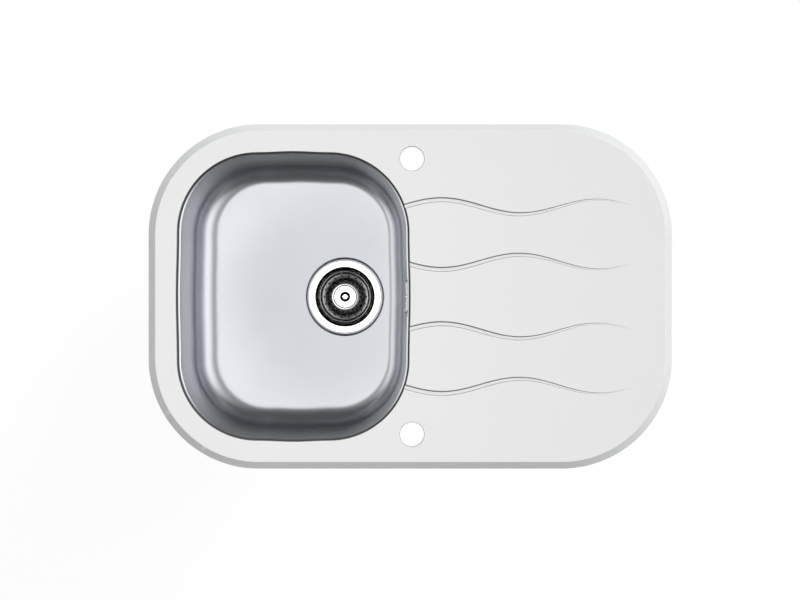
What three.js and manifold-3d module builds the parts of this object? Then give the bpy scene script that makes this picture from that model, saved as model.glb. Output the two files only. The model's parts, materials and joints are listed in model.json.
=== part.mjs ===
// Inset kitchen sink with drainboard: a bevelled glass panel with one pressed steel bowl bonded
// under it, wavy drainer grooves, two tap holes, a basket strainer waste, an overflow and fixing
// clips. Millimetres, +Z up, +X towards the drainer, +Y towards the wall. Z = 0 is the worktop's
// top face. The origin is the middle of the rear rim's seat on the worktop.

import * as THREE from 'three';
import { mergeVertices } from 'three/addons/utils/BufferGeometryUtils.js';
import Module from 'manifold-3d';

const wasm = await Module();
wasm.setup();

// ---- Driving dimensions ----------------------------------------------------------------------

// Glass panel
const panelLength = 760;
const panelWidth = 500;
const panelCornerRadius = 160;
const glassThickness = 8;
const bevelWidth = 10;
const bevelDrop = 2.5;
const edgeArris = 0.8;

// Opening for the bowl: its sides bow outwards a little between the corners
const openingMargin = 40;
const openingEndMargin = 39.5;
const openingLength = 340;
const openingCornerRadius = 116;
const openingBow = 1.6;
const openingArris = 0.6;

// Tap holes, one at the rear and one at the front
const tapHoleDiameter = 35;
const tapHoleOffset = 2.5;
const tapHoleSetback = 50;
const tapHoleArris = 1;
const backnutRadius = 28;

// Drainer grooves: two mirrored pairs of waves that taper away from the bowl
const grooveFirstLine = 50;
const groovePitch = 80;
const grooveAmplitude = 10.6;
const grooveHalfWave = 113.4;
const grooveFirstCrest = 45.6;
const grooveRunOut = 324;
const grooveLead = 29;
const grooveWidth = 7;
const grooveFloorWidth = 4.6;
const grooveDepth = 1.5;
const grooveTaper = 2.2;
const grooveTip = 0.02;

// Rim seal and adhesive
const sealInset = 2;
const sealWidth = 7;
const sealThickness = 1.5;
const bondThickness = 1;
const bondMargin = 2;

// Pressed bowl
const bowlSheet = 1;
const flangeWidth = 15;
const rimReveal = 1;
const rimRadius = 4.5;
const wallDraft = 3.2;
const bottomRadius = 23;
const bowlDepth = 180;
const floorFall = 0.8;
const seatDepth = 2.5;
const seatStep = 2;
const seatClearance = 1.5;
const padLength = 110;
const padWidth = 240;
const padCorner = 18;
const padThickness = 3;
const padStandOff = 3;

// Strainer waste
const wasteOffset = 70;
const strainerRadius = 56;
const strainerLip = 1.5;
const strainerCrown = 2;
const throatRadius = 46;
const throatLead = 1.6;
const throatDrop = 0.5;
const cupRadius = 41.5;
const cupDepth = 26;
const cupTaperDepth = 12.5;
const cupFillet = 4.2;
const cupSheet = 1;
const cupHoleClearance = 2;
const gasketThickness = 1.2;
const gasketWidth = 6.5;
const underGasketThickness = 2;
const gasketInset = 1;
const wellRadius = 11.5;
const wellSlope = 1.5;
const wellDepth = 4;
const slotCount = 9;
const slotWidth = 4;
const slotLength = 13;

// Basket
const basketRadius = 39.4;
const basketSheet = 0.8;
const basketDepth = 18;
const basketTaper = 3;
const basketFillet = 4;
const basketLipWidth = 1.2;
const basketLipHeight = 1.6;
const holeCount = 18;
const holeRadius = 1.8;
const holeCircle = 24;
const outerHoleCircle = 29.6;
const wallSlotWidth = 2.4;
const wallSlotHeight = 7;
const stopperRadius = 34;
const stopperThickness = 3.5;
const stopperTaper = 2;
const stopperLipWidth = 4;
const stopperLipHeight = 0.8;
const knobRadius = 21;
const knobThickness = 4;
const knobUndercut = 4;
const knobFlare = 3;
const knobNeckRadius = 8;
const knobGrooveRadius = 17.5;
const knobGrooveWidth = 1.2;
const knobWellRadius = 7.3;
const knobWellDepth = 3;
const stemRadius = 2.7;
const stemHeadRadius = 4.6;
const stemHeadHeight = 2.4;
const stemHeadEdge = 0.8;
const pegLength = 9;
const pegRoom = 3;
const pegTaper = 1.2;

// Waste body
const bodyWall = 3;
const bodyClearance = 3.5;
const bodyFlange = 4;
const chamberDepth = 34;
const funnelDepth = 12;
const outletRadius = 23.9;
const outletBore = 19;
const outletLength = 30;
const shoulderWall = 1;
const funnelWall = 2;
const hubRadius = 9;
const hubLength = 15;
const spiderWidth = 3;
const ribCount = 8;
const ribThickness = 2.4;
const ribSetback = 2;
const wasteScrewRadius = 5;
const wasteScrewHead = 8.5;
const wasteScrewHeadHeight = 3.4;
const wasteScrewSlotWidth = 2.4;
const wasteScrewSlotDepth = 1.6;
const wasteScrewTip = 2;
const wasteNutRadius = 9;
const wasteNutHeight = 5;

// Overflow
const overflowDepth = 15.5;
const overflowHoleWidth = 38;
const overflowHoleHeight = 12;
const pocketWidth = 49;
const pocketDepth = 1.5;
const pocketCorner = 5;
const pocketMargin = 1;
const coverHeight = 19;
const coverCorner = 4.5;
const coverBevel = 0.5;
const coverSlotWidth = 15;
const coverSlotHeight = 2.6;
const coverSlotPitch = 4.4;
const coverSlotOffset = 11.5;
const overflowScrewRadius = 2.5;
const overflowHeadRadius = 4.5;
const overflowHeadHeight = 1.6;
const overflowHeadEdge = 0.6;
const elbowWidth = 48;
const elbowHeight = 20;
const elbowDepth = 26;
const elbowWall = 2.5;
const elbowSideWall = 5;
const postRadius = 5;
const postLength = 15.6;
const overflowSealThickness = 2;
const overflowSealLand = 4;
const overflowSealCorner = 5;
const pipeRadius = 10;
const pipeBore = 8.2;
const pipeSetback = 12;
const pipeBendRadius = 24;
const spigotWall = 3.2;
const spigotLength = 14;
const nutWall = 3.2;
const nutLength = 13;
const nutGripCount = 6;
const nutGripWidth = 3;
const nutGripHeight = 0.8;
const ringLength = 3;
const ringSlack = 0.4;

// Drainer frame: a strip with one lip
const frameInset = 25;
const frameWidth = 25;
const frameSheet = 1;
const frameLip = 8;
const frameStart = 10;

// Fixing clips: they grip worktops between the two thicknesses
const thickestWorktop = 40;
const thinnestWorktop = 28;
const clawSlack = 1;
const clipInset = 19;
const clipSpread = 200;
const clipSheet = 2;
const clipWidth = 18;
const clipPlate = 14;
const clipBackset = 8;
const clipScrewRadius = 3;
const clipHeadRadius = 5.5;
const clipHeadHeight = 4;
const clipSlotWidth = 1.2;
const clipSlotDepth = 1.5;
const clipScrewLead = 1;
const clipHeadroom = 3;
const clawReach = 24;
const clawWidth = 12;
const clawSheet = 2.5;
const clawTooth = 3;
const clawToothLength = 4;
const clawHubRadius = 6;
const clawHubHeight = 5;

// Clearances, and how far a cutter runs past what it cuts
const fitGap = 0.3;
const seatedGap = 0.3;
const past = 1;

// Broken edges of turned and moulded pieces
const edgeBreak = 1;

// Facets
const panelArcSteps = 9;
const bowlArcSteps = 7;
const bowlSideSteps = 2;
const rimSteps = 2;
const filletSteps = 4;
const grooveSteps = 18;
const crownSteps = 4;
const pipeBendSteps = 5;
const strainerFacets = 24;
const basketFacets = 24;
const bodyFacets = 20;
const knobFacets = 16;
const pipeFacets = 12;
const smallFacets = 8;

// ---- Levels and places worked out from them ---------------------------------------------------

const glassBottom = sealThickness;
const glassTop = glassBottom + glassThickness;
const flangeTop = glassBottom - bondThickness;
const flangeBottom = flangeTop - bowlSheet;
const floorTop = flangeTop - bowlDepth;
const seatTop = floorTop - floorFall - seatDepth;

const openingWidth = panelWidth - 2 * openingEndMargin;
const bowlX = -panelLength / 2 + openingMargin + openingLength / 2;
const openingRight = bowlX + openingLength / 2;
const wasteX = bowlX + wasteOffset;
const tapHoleY = panelWidth / 2 - tapHoleSetback;
const draft = THREE.MathUtils.degToRad(wallDraft);

// ---- Solids: closed meshes, joined and cut ----------------------------------------------------

function signedVolume(position, index) {
    const a = new THREE.Vector3();
    const b = new THREE.Vector3();
    const c = new THREE.Vector3();
    let volume = 0;
    for (let i = 0; i < index.length; i += 3) {
        a.fromBufferAttribute(position, index[i]);
        b.fromBufferAttribute(position, index[i + 1]);
        c.fromBufferAttribute(position, index[i + 2]);
        volume += a.dot(b.cross(c)) / 6;
    }
    return volume;
}

// Merges the vertices that faces share, drops flat triangles and turns the faces outwards
function solidOf(geometry) {
    const bare = geometry.clone();
    bare.deleteAttribute('normal');
    bare.deleteAttribute('uv');
    const merged = mergeVertices(bare, 1e-4);
    const corners = merged.index.array;
    const index = [];
    for (let i = 0; i < corners.length; i += 3) {
        const [a, b, c] = [corners[i], corners[i + 1], corners[i + 2]];
        if (a !== b && b !== c && c !== a) index.push(a, b, c);
    }
    if (signedVolume(merged.attributes.position, index) < 0) index.reverse();
    const vertProperties = new Float32Array(merged.attributes.position.array);
    const triVerts = new Uint32Array(index);
    return new wasm.Manifold(new wasm.Mesh({ numProp: 3, vertProperties, triVerts }));
}

function geometryOf(solid) {
    const { vertProperties, triVerts } = solid.getMesh();
    const geometry = new THREE.BufferGeometry();
    geometry.setAttribute('position', new THREE.BufferAttribute(vertProperties, 3));
    geometry.setIndex(new THREE.BufferAttribute(triVerts, 1));
    return geometry;
}

const joined = (first, ...rest) => rest.reduce((sum, next) => sum.add(next), first);
const cut = (first, ...rest) => rest.reduce((left, next) => left.subtract(next), first);

// A profile of [radius, z] points turned about Z; a ring's profile closes on itself
function revolved(profile, facets, ring = false) {
    const points = profile.map(([radius, z]) => new THREE.Vector2(radius, z));
    if (ring) points.push(points[0].clone());
    return solidOf(new THREE.LatheGeometry(points, facets).rotateX(Math.PI / 2));
}

const rod = (radius, low, high, facets) =>
    revolved([[0, low], [radius, low], [radius, high], [0, high]], facets);

const tube = (inner, outer, low, high, facets) =>
    revolved([[inner, low], [outer, low], [outer, high], [inner, high]], facets, true);

function block(x0, x1, y0, y1, z0, z1) {
    const box = new THREE.BoxGeometry(x1 - x0, y1 - y0, z1 - z0);
    return solidOf(box.translate((x0 + x1) / 2, (y0 + y1) / 2, (z0 + z1) / 2));
}

function prism(shape, low, high, curveSegments = 6) {
    const settings = { depth: high - low, bevelEnabled: false, curveSegments };
    return new THREE.ExtrudeGeometry(shape, settings).translate(0, 0, low);
}

// Skins rings of equal count in turn; the ends are capped, or joined when the loft is a loop
function lofted(rings, loop = false) {
    const count = rings[0].length;
    const position = rings.flat().flatMap((point) => point.toArray());
    const index = [];
    const last = loop ? rings.length : rings.length - 1;
    for (let i = 0; i < last; i++) {
        const here = i * count;
        const next = ((i + 1) % rings.length) * count;
        for (let j = 0; j < count; j++) {
            const k = (j + 1) % count;
            index.push(here + j, here + k, next + k, here + j, next + k, next + j);
        }
    }
    if (!loop) {
        const end = (rings.length - 1) * count;
        for (let j = 1; j < count - 1; j++) {
            index.push(0, j + 1, j);
            index.push(end, end + j, end + j + 1);
        }
    }
    const geometry = new THREE.BufferGeometry();
    geometry.setAttribute('position', new THREE.Float32BufferAttribute(position, 3));
    geometry.setIndex(index);
    return solidOf(geometry);
}

// ---- Outlines ---------------------------------------------------------------------------------

function arcPoints(centreX, centreY, radius, from, to, steps) {
    const points = [];
    for (let i = 0; i <= steps; i++) {
        const angle = from + ((to - from) * i) / steps;
        points.push([centreX + radius * Math.cos(angle), centreY + radius * Math.sin(angle)]);
    }
    return points;
}

// Repeats the points of the first quadrant in the other three
function fourQuadrants(quarter) {
    const mirrored = quarter.map(([x, y]) => [-x, y]).reverse();
    const upper = [...quarter, ...mirrored];
    const lower = upper.map(([x, y]) => [x, -y]).reverse();
    return [...upper, ...lower].filter(([x, y], i, all) => {
        const [px, py] = all[(i + all.length - 1) % all.length];
        return Math.hypot(x - px, y - py) > 1e-6;
    });
}

// The panel's outline, drawn in by an inset
function panelOutline(inset) {
    const radius = panelCornerRadius - inset;
    const centreX = panelLength / 2 - panelCornerRadius;
    const centreY = panelWidth / 2 - panelCornerRadius;
    return fourQuadrants(arcPoints(centreX, centreY, radius, 0, Math.PI / 2, panelArcSteps));
}

// The bowl's outline, drawn in by an inset: corner arcs joined by long shallow side arcs
function bowlOutline(inset) {
    const halfLength = openingLength / 2;
    const halfWidth = openingWidth / 2;
    const reach = openingCornerRadius + openingBow;
    const cornerX = halfLength - reach;
    const cornerY = halfWidth - reach;
    const slack = reach ** 2 - openingCornerRadius ** 2;
    const sideRadius = (slack + cornerY ** 2) / (2 * openingBow);
    const endRadius = (slack + cornerX ** 2) / (2 * openingBow);
    const sideX = halfLength - sideRadius;
    const endY = halfWidth - endRadius;
    const sideAngle = Math.atan2(cornerY, cornerX - sideX);
    const endAngle = Math.atan2(cornerX, cornerY - endY);
    const square = Math.PI / 2;
    const side = arcPoints(sideX, 0, sideRadius - inset, 0, sideAngle, bowlSideSteps);
    const corner = arcPoints(cornerX, cornerY, openingCornerRadius - inset,
        sideAngle, square - endAngle, bowlArcSteps);
    const end = arcPoints(0, endY, endRadius - inset, square - endAngle, square, bowlSideSteps);
    const quarter = [...side, ...corner.slice(1), ...end.slice(1)];
    return fourQuadrants(quarter).map(([x, y]) => [bowlX + x, y]);
}

const ringAt = (outline, z) => outline.map(([x, y]) => new THREE.Vector3(x, y, z));
const shapeOf = (outline) => new THREE.Shape(outline.map(([x, y]) => new THREE.Vector2(x, y)));

function roundedRectangle(width, height, radius) {
    const shape = new THREE.Shape();
    const [x, y] = [width / 2, height / 2];
    shape.moveTo(-x + radius, -y);
    shape.lineTo(x - radius, -y);
    shape.absarc(x - radius, -y + radius, radius, -Math.PI / 2, 0);
    shape.absarc(x - radius, y - radius, radius, 0, Math.PI / 2);
    shape.absarc(-x + radius, y - radius, radius, Math.PI / 2, Math.PI);
    shape.absarc(-x + radius, -y + radius, radius, Math.PI, 1.5 * Math.PI);
    return shape;
}

// Moves an open [a, z] path sideways by a distance, with mitred corners
function offsetPath(path, distance) {
    const normals = path.slice(1).map(([a, z], i) => {
        const [pa, pz] = path[i];
        const length = Math.hypot(a - pa, z - pz);
        return [(pz - z) / length, (a - pa) / length];
    });
    return path.map(([a, z], i) => {
        const before = normals[Math.max(i - 1, 0)];
        const after = normals[Math.min(i, normals.length - 1)];
        const scale = distance / (1 + before[0] * after[0] + before[1] * after[1]);
        return [a + (before[0] + after[0]) * scale, z + (before[1] + after[1]) * scale];
    });
}

// ---- Scene graph ------------------------------------------------------------------------------

const sink = new THREE.Group();
sink.position.set(0, -(panelWidth / 2 - sealInset - sealWidth / 2), 0);

const finishes = {
    glass: { color: 0xe8e8e8, roughness: 0.08, metalness: 0 },
    satinSteel: { color: 0xb4b8be, roughness: 0.32, metalness: 1 },
    polishedSteel: { color: 0xdadcdf, roughness: 0.1, metalness: 1 },
    zincSteel: { color: 0xa3a7a8, roughness: 0.45, metalness: 1 },
    brass: { color: 0xb89a55, roughness: 0.35, metalness: 1 },
    blackPlastic: { color: 0x232426, roughness: 0.5, metalness: 0 },
    rubber: { color: 0x1b1b1c, roughness: 0.8, metalness: 0 },
    foam: { color: 0x3c3d3f, roughness: 0.95, metalness: 0 },
    adhesive: { color: 0x54575a, roughness: 0.6, metalness: 0 },
};

function addPiece(parent, name, solid, finish) {
    const material = new THREE.MeshStandardMaterial(finishes[finish]);
    const mesh = new THREE.Mesh(geometryOf(solid), material);
    mesh.name = name;
    parent.add(mesh);
    return mesh;
}

// ---- Glass panel ------------------------------------------------------------------------------

// One groove's cutter: a flat floor between sloped sides, carried along the wave and narrowing
// to nothing
function grooveCutter(meanLine, side) {
    const start = openingRight - grooveLead;
    const floor = grooveFloorWidth / grooveWidth / 2;
    const section = [[-0.5, past], [-0.5, 0], [-floor, -grooveDepth], [floor, -grooveDepth],
        [0.5, 0], [0.5, past]];
    const rings = [];
    for (let i = 0; i <= grooveSteps; i++) {
        const along = i / grooveSteps;
        const x = start + (grooveRunOut - start) * along;
        const phase = (Math.PI * (x - grooveFirstCrest)) / grooveHalfWave;
        const y = meanLine + side * grooveAmplitude * Math.cos(phase);
        const slope = (-side * grooveAmplitude * Math.PI * Math.sin(phase)) / grooveHalfWave;
        const across = new THREE.Vector3(-slope, 1, 0).normalize();
        const run = Math.max((x - openingRight) / (grooveRunOut - openingRight), 0);
        const size = Math.max(1 - run ** grooveTaper, grooveTip);
        rings.push(section.map(([u, v]) => new THREE.Vector3(x, y, glassTop + v * size)
            .addScaledVector(across, u * grooveWidth * size)));
    }
    return lofted(rings);
}

function tapHoleCutter(y) {
    const radius = tapHoleDiameter / 2;
    const profile = [
        [0, glassBottom - past],
        [radius, glassBottom - past],
        [radius, glassTop - tapHoleArris],
        [radius + tapHoleArris + past, glassTop + past],
        [0, glassTop + past],
    ];
    return revolved(profile, bodyFacets).translate([tapHoleOffset, y, 0]);
}

function makeGlassPanel() {
    const slab = lofted([
        ringAt(panelOutline(edgeArris), glassBottom),
        ringAt(panelOutline(0), glassBottom + edgeArris),
        ringAt(panelOutline(0), glassTop - bevelDrop),
        ringAt(panelOutline(bevelWidth), glassTop),
    ]);
    const opening = lofted([
        ringAt(bowlOutline(0), glassBottom - past),
        ringAt(bowlOutline(0), glassTop - openingArris),
        ringAt(bowlOutline(-openingArris - past), glassTop + past),
    ]);
    const grooves = [1, -1].flatMap((half) => [
        grooveCutter(half * grooveFirstLine, -half),
        grooveCutter(half * (grooveFirstLine + groovePitch), half),
    ]);
    return cut(slab, opening, tapHoleCutter(tapHoleY), tapHoleCutter(-tapHoleY), ...grooves);
}

addPiece(sink, 'glass_panel', makeGlassPanel(), 'glass');

// A flat ring between two outlines
function flatRing(outer, inner, low, high) {
    const shape = shapeOf(outer);
    shape.holes.push(new THREE.Path(inner.map(([x, y]) => new THREE.Vector2(x, y))));
    return solidOf(prism(shape, low, high));
}

const rimSeal = flatRing(panelOutline(sealInset), panelOutline(sealInset + sealWidth), 0, glassBottom);
addPiece(sink, 'rim_seal', rimSeal, 'foam');

// ---- Bowl -------------------------------------------------------------------------------------

// The visible face from the flange to the flat floor, as [inset from the opening, z] points
function bowlProfile() {
    const square = Math.PI / 2;
    const rim = arcPoints(rimReveal, flangeTop - rimRadius, rimRadius, square, draft, rimSteps);
    const [wallInset, wallTop] = rim[rimSteps];
    const centreZ = floorTop + bottomRadius;
    const wallFoot = centreZ - bottomRadius * Math.sin(draft);
    const footInset = wallInset + (wallTop - wallFoot) * Math.tan(draft);
    const centreInset = footInset + bottomRadius * Math.cos(draft);
    const fillet = arcPoints(centreInset, centreZ, bottomRadius, Math.PI + draft, 1.5 * Math.PI,
        filletSteps);
    return [[-flangeWidth, flangeTop], ...rim, ...fillet];
}

// The wall's inset from the opening at a height between the rim and the bottom fillet
function wallInsetAt(z) {
    const [inset, top] = bowlProfile()[rimSteps + 1];
    return inset + (top - z) * Math.tan(draft);
}

function circleRing(radius, z) {
    const count = bowlOutline(0).length;
    return Array.from({ length: count }, (_, i) => {
        const angle = (2 * Math.PI * i) / count;
        return new THREE.Vector3(wasteX + radius * Math.cos(angle), radius * Math.sin(angle), z);
    });
}

const seatRadius = strainerRadius + seatClearance;
const bowlHoleRadius = throatRadius + cupHoleClearance;

function bowlSkin(profile, drop) {
    return [
        ...profile.map(([inset, z]) => ringAt(bowlOutline(inset), z)),
        circleRing(seatRadius + seatStep + drop / 2, floorTop - floorFall - drop),
        circleRing(seatRadius + drop / 2, seatTop - drop),
        circleRing(bowlHoleRadius, seatTop - drop),
    ];
}

const bowlInside = bowlProfile();
const bowlOutside = offsetPath(bowlInside, -bowlSheet);

// The overflow's own frame lies on the floor of its pocket: its X points out of the bowl, square
// to the drafted wall
const overflowZ = flangeTop - overflowDepth;
const pocketFloorX = openingRight - wallInsetAt(overflowZ) + pocketDepth / Math.cos(draft);
const overflowGroup = new THREE.Group();
overflowGroup.position.set(pocketFloorX, 0, overflowZ);
overflowGroup.rotation.y = draft;
overflowGroup.updateMatrix();
const inOverflow = (solid) => solid.transform(overflowGroup.matrix.toArray());

// A rounded plate square to the overflow's X axis
function overflowPlate(width, height, radius, from, to, curveSegments = 3) {
    const plate = prism(roundedRectangle(width, height, radius), from, to, curveSegments);
    return solidOf(plate.rotateX(Math.PI / 2).rotateZ(Math.PI / 2));
}

// The overflow's pocket, pressed back from the wall; it runs up and out through the rim's curve.
// Grown by the sheet, it is the pocket's outside.
function pocketBlank(grow, to) {
    const foot = coverHeight / 2 + pocketMargin + grow;
    const head = overflowDepth + rimRadius + pocketCorner;
    const plate = overflowPlate(pocketWidth + 2 * grow, foot + head, pocketCorner + grow,
        -pocketDepth - rimRadius, to, 2);
    return inOverflow(plate.translate([0, 0, (head - foot) / 2]));
}

function makeBowl() {
    const skins = [...bowlSkin(bowlInside, 0), ...bowlSkin(bowlOutside, bowlSheet).reverse()];
    const room = lofted(bowlSkin(bowlInside.slice(1), 0));
    const above = block(-panelLength, panelLength, -panelWidth, panelWidth, flangeBottom, panelWidth);
    const pocketWall = cut(pocketBlank(bowlSheet, bowlSheet), room, above);
    const overflowHole = overflowPlate(overflowHoleWidth, overflowHoleHeight, overflowHoleHeight / 2,
        -past, bowlSheet + past);
    return cut(joined(lofted(skins, true), pocketWall), pocketBlank(0, 0), inOverflow(overflowHole));
}

addPiece(sink, 'bowl', makeBowl(), 'satinSteel');

const bowlBond = flatRing(bowlOutline(bondMargin - flangeWidth), bowlOutline(-openingArris),
    flangeTop, glassBottom);
addPiece(sink, 'bowl_bond', bowlBond, 'adhesive');

// The pad lies under the floor between the waste and the far wall, and follows its fall
function makeBowlPad() {
    const padX = wasteX - seatRadius - seatStep - padStandOff - padLength / 2;
    const shape = roundedRectangle(padLength, padWidth, padCorner);
    const low = floorTop - bowlSheet - padThickness;
    const blank = solidOf(prism(shape, low, floorTop, 3)).translate([padX, 0, 0]);
    const skin = bowlSkin(offsetPath(bowlInside, -bowlSheet - fitGap), bowlSheet + fitGap);
    return cut(blank, lofted(skin));
}

addPiece(sink, 'bowl_pad', makeBowlPad(), 'rubber');

// ---- Strainer waste ---------------------------------------------------------------------------

// Heights in this group are from the face of the bowl's waste seat
const waste = new THREE.Group();
waste.position.set(wasteX, 0, seatTop);
sink.add(waste);

const seatUnderside = -bowlSheet;
const bodyTop = seatUnderside - underGasketThickness;
const cupFloor = -cupDepth;
const wellFloor = cupFloor - wellDepth;
const wellUnderside = wellFloor - cupSheet;
const screwHole = wasteScrewRadius + fitGap;

function strainerSlots() {
    const middle = (wellRadius + cupRadius) / 2;
    const slot = roundedRectangle(slotLength, slotWidth, slotWidth / 2);
    const cutter = solidOf(prism(slot, cupFloor - 2 * cupSheet, cupFloor + cupSheet, 2));
    return Array.from({ length: slotCount }, (_, i) =>
        cutter.translate([middle, 0, 0]).rotate([0, 0, (360 * i) / slotCount]));
}

// A pressed cup: the polished flange is crowned, its throat narrows to the cup's straight wall
function makeStrainerFlange() {
    const under = gasketThickness;
    const lip = under + strainerLip;
    const width = strainerRadius - throatRadius;
    const crown = Array.from({ length: crownSteps + 1 }, (_, i) => [
        strainerRadius - (width * i) / crownSteps,
        lip + (strainerCrown - strainerLip) * Math.sin((Math.PI * i) / crownSteps),
    ]);
    const inside = [
        crown[crownSteps],
        [throatRadius - throatLead, -throatDrop],
        [cupRadius, -cupTaperDepth],
        ...arcPoints(cupRadius - cupFillet, cupFloor + cupFillet, cupFillet, 0, -Math.PI / 2, 2),
        [wellRadius + wellSlope, cupFloor],
        [wellRadius, wellFloor],
        [screwHole, wellFloor],
    ];
    const outside = offsetPath(inside, cupSheet).slice(1);
    const profile = [
        [strainerRadius, under],
        ...crown.slice(0, crownSteps),
        ...inside,
        ...outside.reverse(),
        [throatRadius + cupSheet, under],
    ];
    return cut(revolved(profile, strainerFacets, true), ...strainerSlots());
}

addPiece(waste, 'strainer_flange', makeStrainerFlange(), 'polishedSteel');

const gasketOuter = strainerRadius - gasketInset;
const gasketInner = gasketOuter - gasketWidth;
const flangeGasket = tube(gasketInner, gasketOuter, 0, gasketThickness, bodyFacets);
addPiece(waste, 'flange_gasket', flangeGasket, 'rubber');
const wasteGasket = tube(gasketInner, gasketOuter, bodyTop, seatUnderside, bodyFacets);
addPiece(waste, 'waste_gasket', wasteGasket, 'rubber');

// Moulded body: flange, round chamber, funnel, spider with hub, and overflow inlet. The threaded
// outlet is moulded apart and welded under the funnel.
const chamberBore = cupRadius + cupSheet + bodyClearance;
const chamberRadius = chamberBore + bodyWall;
const funnelTop = -chamberDepth;
const funnelFoot = funnelTop - funnelDepth;
const weldZ = funnelFoot - funnelWall;
const outletEnd = funnelFoot - outletLength;
const inletAxis = cupFloor - 1;
const spigotRadius = pipeRadius + spigotWall;
const inletEnd = chamberRadius + spigotLength;
const hubTop = wellUnderside;
const hubFoot = hubTop - hubLength;
const alongX = (solid, from, z) => solid.rotate([0, 90, 0]).translate([from, 0, z]);

function makeWasteBody() {
    const flangeFoot = bodyTop - bodyFlange;
    const shell = revolved([
        [0, bodyTop],
        [strainerRadius, bodyTop],
        [strainerRadius, flangeFoot],
        [chamberRadius, flangeFoot],
        [chamberRadius, funnelTop - shoulderWall],
        [outletRadius, weldZ],
        [0, weldZ],
    ], bodyFacets);
    const spigot = alongX(rod(spigotRadius, 0, inletEnd, pipeFacets), 0, inletAxis);
    const rib = new THREE.Shape([
        new THREE.Vector2(chamberRadius - past, flangeFoot),
        new THREE.Vector2(strainerRadius - ribSetback, flangeFoot),
        new THREE.Vector2(chamberRadius - past, inletAxis + spigotRadius),
    ]);
    const ribSolid = solidOf(prism(rib, -ribThickness / 2, ribThickness / 2).rotateX(Math.PI / 2));
    const ribs = Array.from({ length: ribCount }, (_, i) =>
        ribSolid.rotate([0, 0, (360 * (i + 0.5)) / ribCount]));
    const chamber = revolved([
        [0, bodyTop + past],
        [chamberBore, bodyTop + past],
        [chamberBore, funnelTop],
        [outletBore, funnelFoot],
        [outletBore, weldZ - past],
        [0, weldZ - past],
    ], bodyFacets);
    const inletBore = alongX(rod(pipeBore, 0, inletEnd, pipeFacets), 0, inletAxis);
    const socket = alongX(rod(pipeRadius + fitGap, chamberRadius, inletEnd + past, pipeFacets), 0,
        inletAxis);
    const hollow = cut(joined(shell, spigot, ...ribs), chamber, inletBore, socket);
    const arm = block(-chamberRadius, chamberRadius, -spiderWidth / 2, spiderWidth / 2,
        hubFoot, funnelTop - shoulderWall);
    const spider = joined(rod(hubRadius, hubFoot, hubTop, smallFacets), arm, arm.rotate([0, 0, 90]));
    const bolt = rod(screwHole, hubFoot - past, hubTop + past, knobFacets);
    return joined(hollow, cut(spider.intersect(shell), bolt));
}

addPiece(waste, 'waste_body', makeWasteBody(), 'blackPlastic');

const wasteOutlet = revolved([
    [outletBore, weldZ],
    [outletRadius, weldZ],
    [outletRadius, outletEnd + edgeBreak],
    [outletRadius - edgeBreak, outletEnd],
    [outletBore, outletEnd],
], bodyFacets, true);
addPiece(waste, 'waste_outlet', wasteOutlet, 'blackPlastic');

const pegBore = stemRadius + fitGap;
const pegTip = cupFloor - pegLength;
const headTop = wellFloor + wasteScrewHeadHeight;
const screwTip = hubFoot - wasteNutHeight - wasteScrewTip;

function makeWasteScrew() {
    const screw = revolved([
        [0, screwTip],
        [wasteScrewRadius - edgeBreak, screwTip],
        [wasteScrewRadius, screwTip + edgeBreak],
        [wasteScrewRadius, wellFloor],
        [wasteScrewHead, wellFloor],
        [wasteScrewHead, headTop - edgeBreak],
        [wasteScrewHead - edgeBreak, headTop],
        [0, headTop],
    ], knobFacets);
    const bore = rod(pegBore, pegTip - pegRoom, headTop + past, smallFacets);
    const slot = block(-wasteScrewHead, wasteScrewHead, -wasteScrewSlotWidth / 2,
        wasteScrewSlotWidth / 2, headTop - wasteScrewSlotDepth, headTop + past);
    return cut(screw, bore, slot);
}

addPiece(waste, 'waste_screw', makeWasteScrew(), 'polishedSteel');

const nutBlank = rod(wasteNutRadius, hubFoot - wasteNutHeight, hubFoot, 6);
const nutBore = rod(screwHole, hubFoot - wasteNutHeight - past, hubFoot + past, knobFacets);
addPiece(waste, 'waste_nut', cut(nutBlank, nutBore), 'brass');

// ---- Basket, shown pressed shut -----------------------------------------------------------------

const stopperFoot = cupFloor + seatedGap;
const basketUnderside = stopperFoot + stopperThickness;
const basketFloor = basketUnderside + basketSheet;
const basketTop = basketFloor + basketDepth;

function makeBasket() {
    const foot = basketRadius - basketTaper;
    const outside = [
        [basketRadius, basketTop],
        [basketRadius - basketLipWidth, basketTop - basketLipHeight],
        ...arcPoints(foot - basketFillet, basketUnderside + basketFillet, basketFillet,
            0, -Math.PI / 2, 2),
        [pegBore, basketUnderside],
    ];
    const inside = offsetPath(outside, -basketSheet).reverse();
    const pan = revolved([...outside, ...inside], basketFacets, true);
    const drill = rod(holeRadius, basketUnderside - past, basketFloor + past, 6);
    const wallSlot = block(0, basketRadius + past, -wallSlotWidth / 2, wallSlotWidth / 2,
        0, wallSlotHeight);
    const slotFoot = (basketFloor + basketTop - wallSlotHeight) / 2;
    const cutters = [];
    for (let i = 0; i < holeCount; i++) {
        const step = 360 / holeCount;
        cutters.push(drill.translate([holeCircle, 0, 0]).rotate([0, 0, i * step]));
        cutters.push(drill.translate([outerHoleCircle, 0, 0]).rotate([0, 0, (i + 0.5) * step]));
        if (i % 2) cutters.push(wallSlot.translate([0, 0, slotFoot]).rotate([0, 0, i * step]));
    }
    return cut(pan, ...cutters);
}

addPiece(waste, 'basket', makeBasket(), 'polishedSteel');

const stopper = revolved([
    [pegBore, basketUnderside],
    [stopperRadius - stopperTaper, basketUnderside],
    [stopperRadius, stopperFoot + edgeBreak],
    [stopperRadius - edgeBreak, stopperFoot],
    [stopperRadius - stopperLipWidth, stopperFoot + stopperLipHeight],
    [pegBore, stopperFoot + stopperLipHeight],
], basketFacets, true);
addPiece(waste, 'basket_stopper', stopper, 'rubber');

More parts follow.
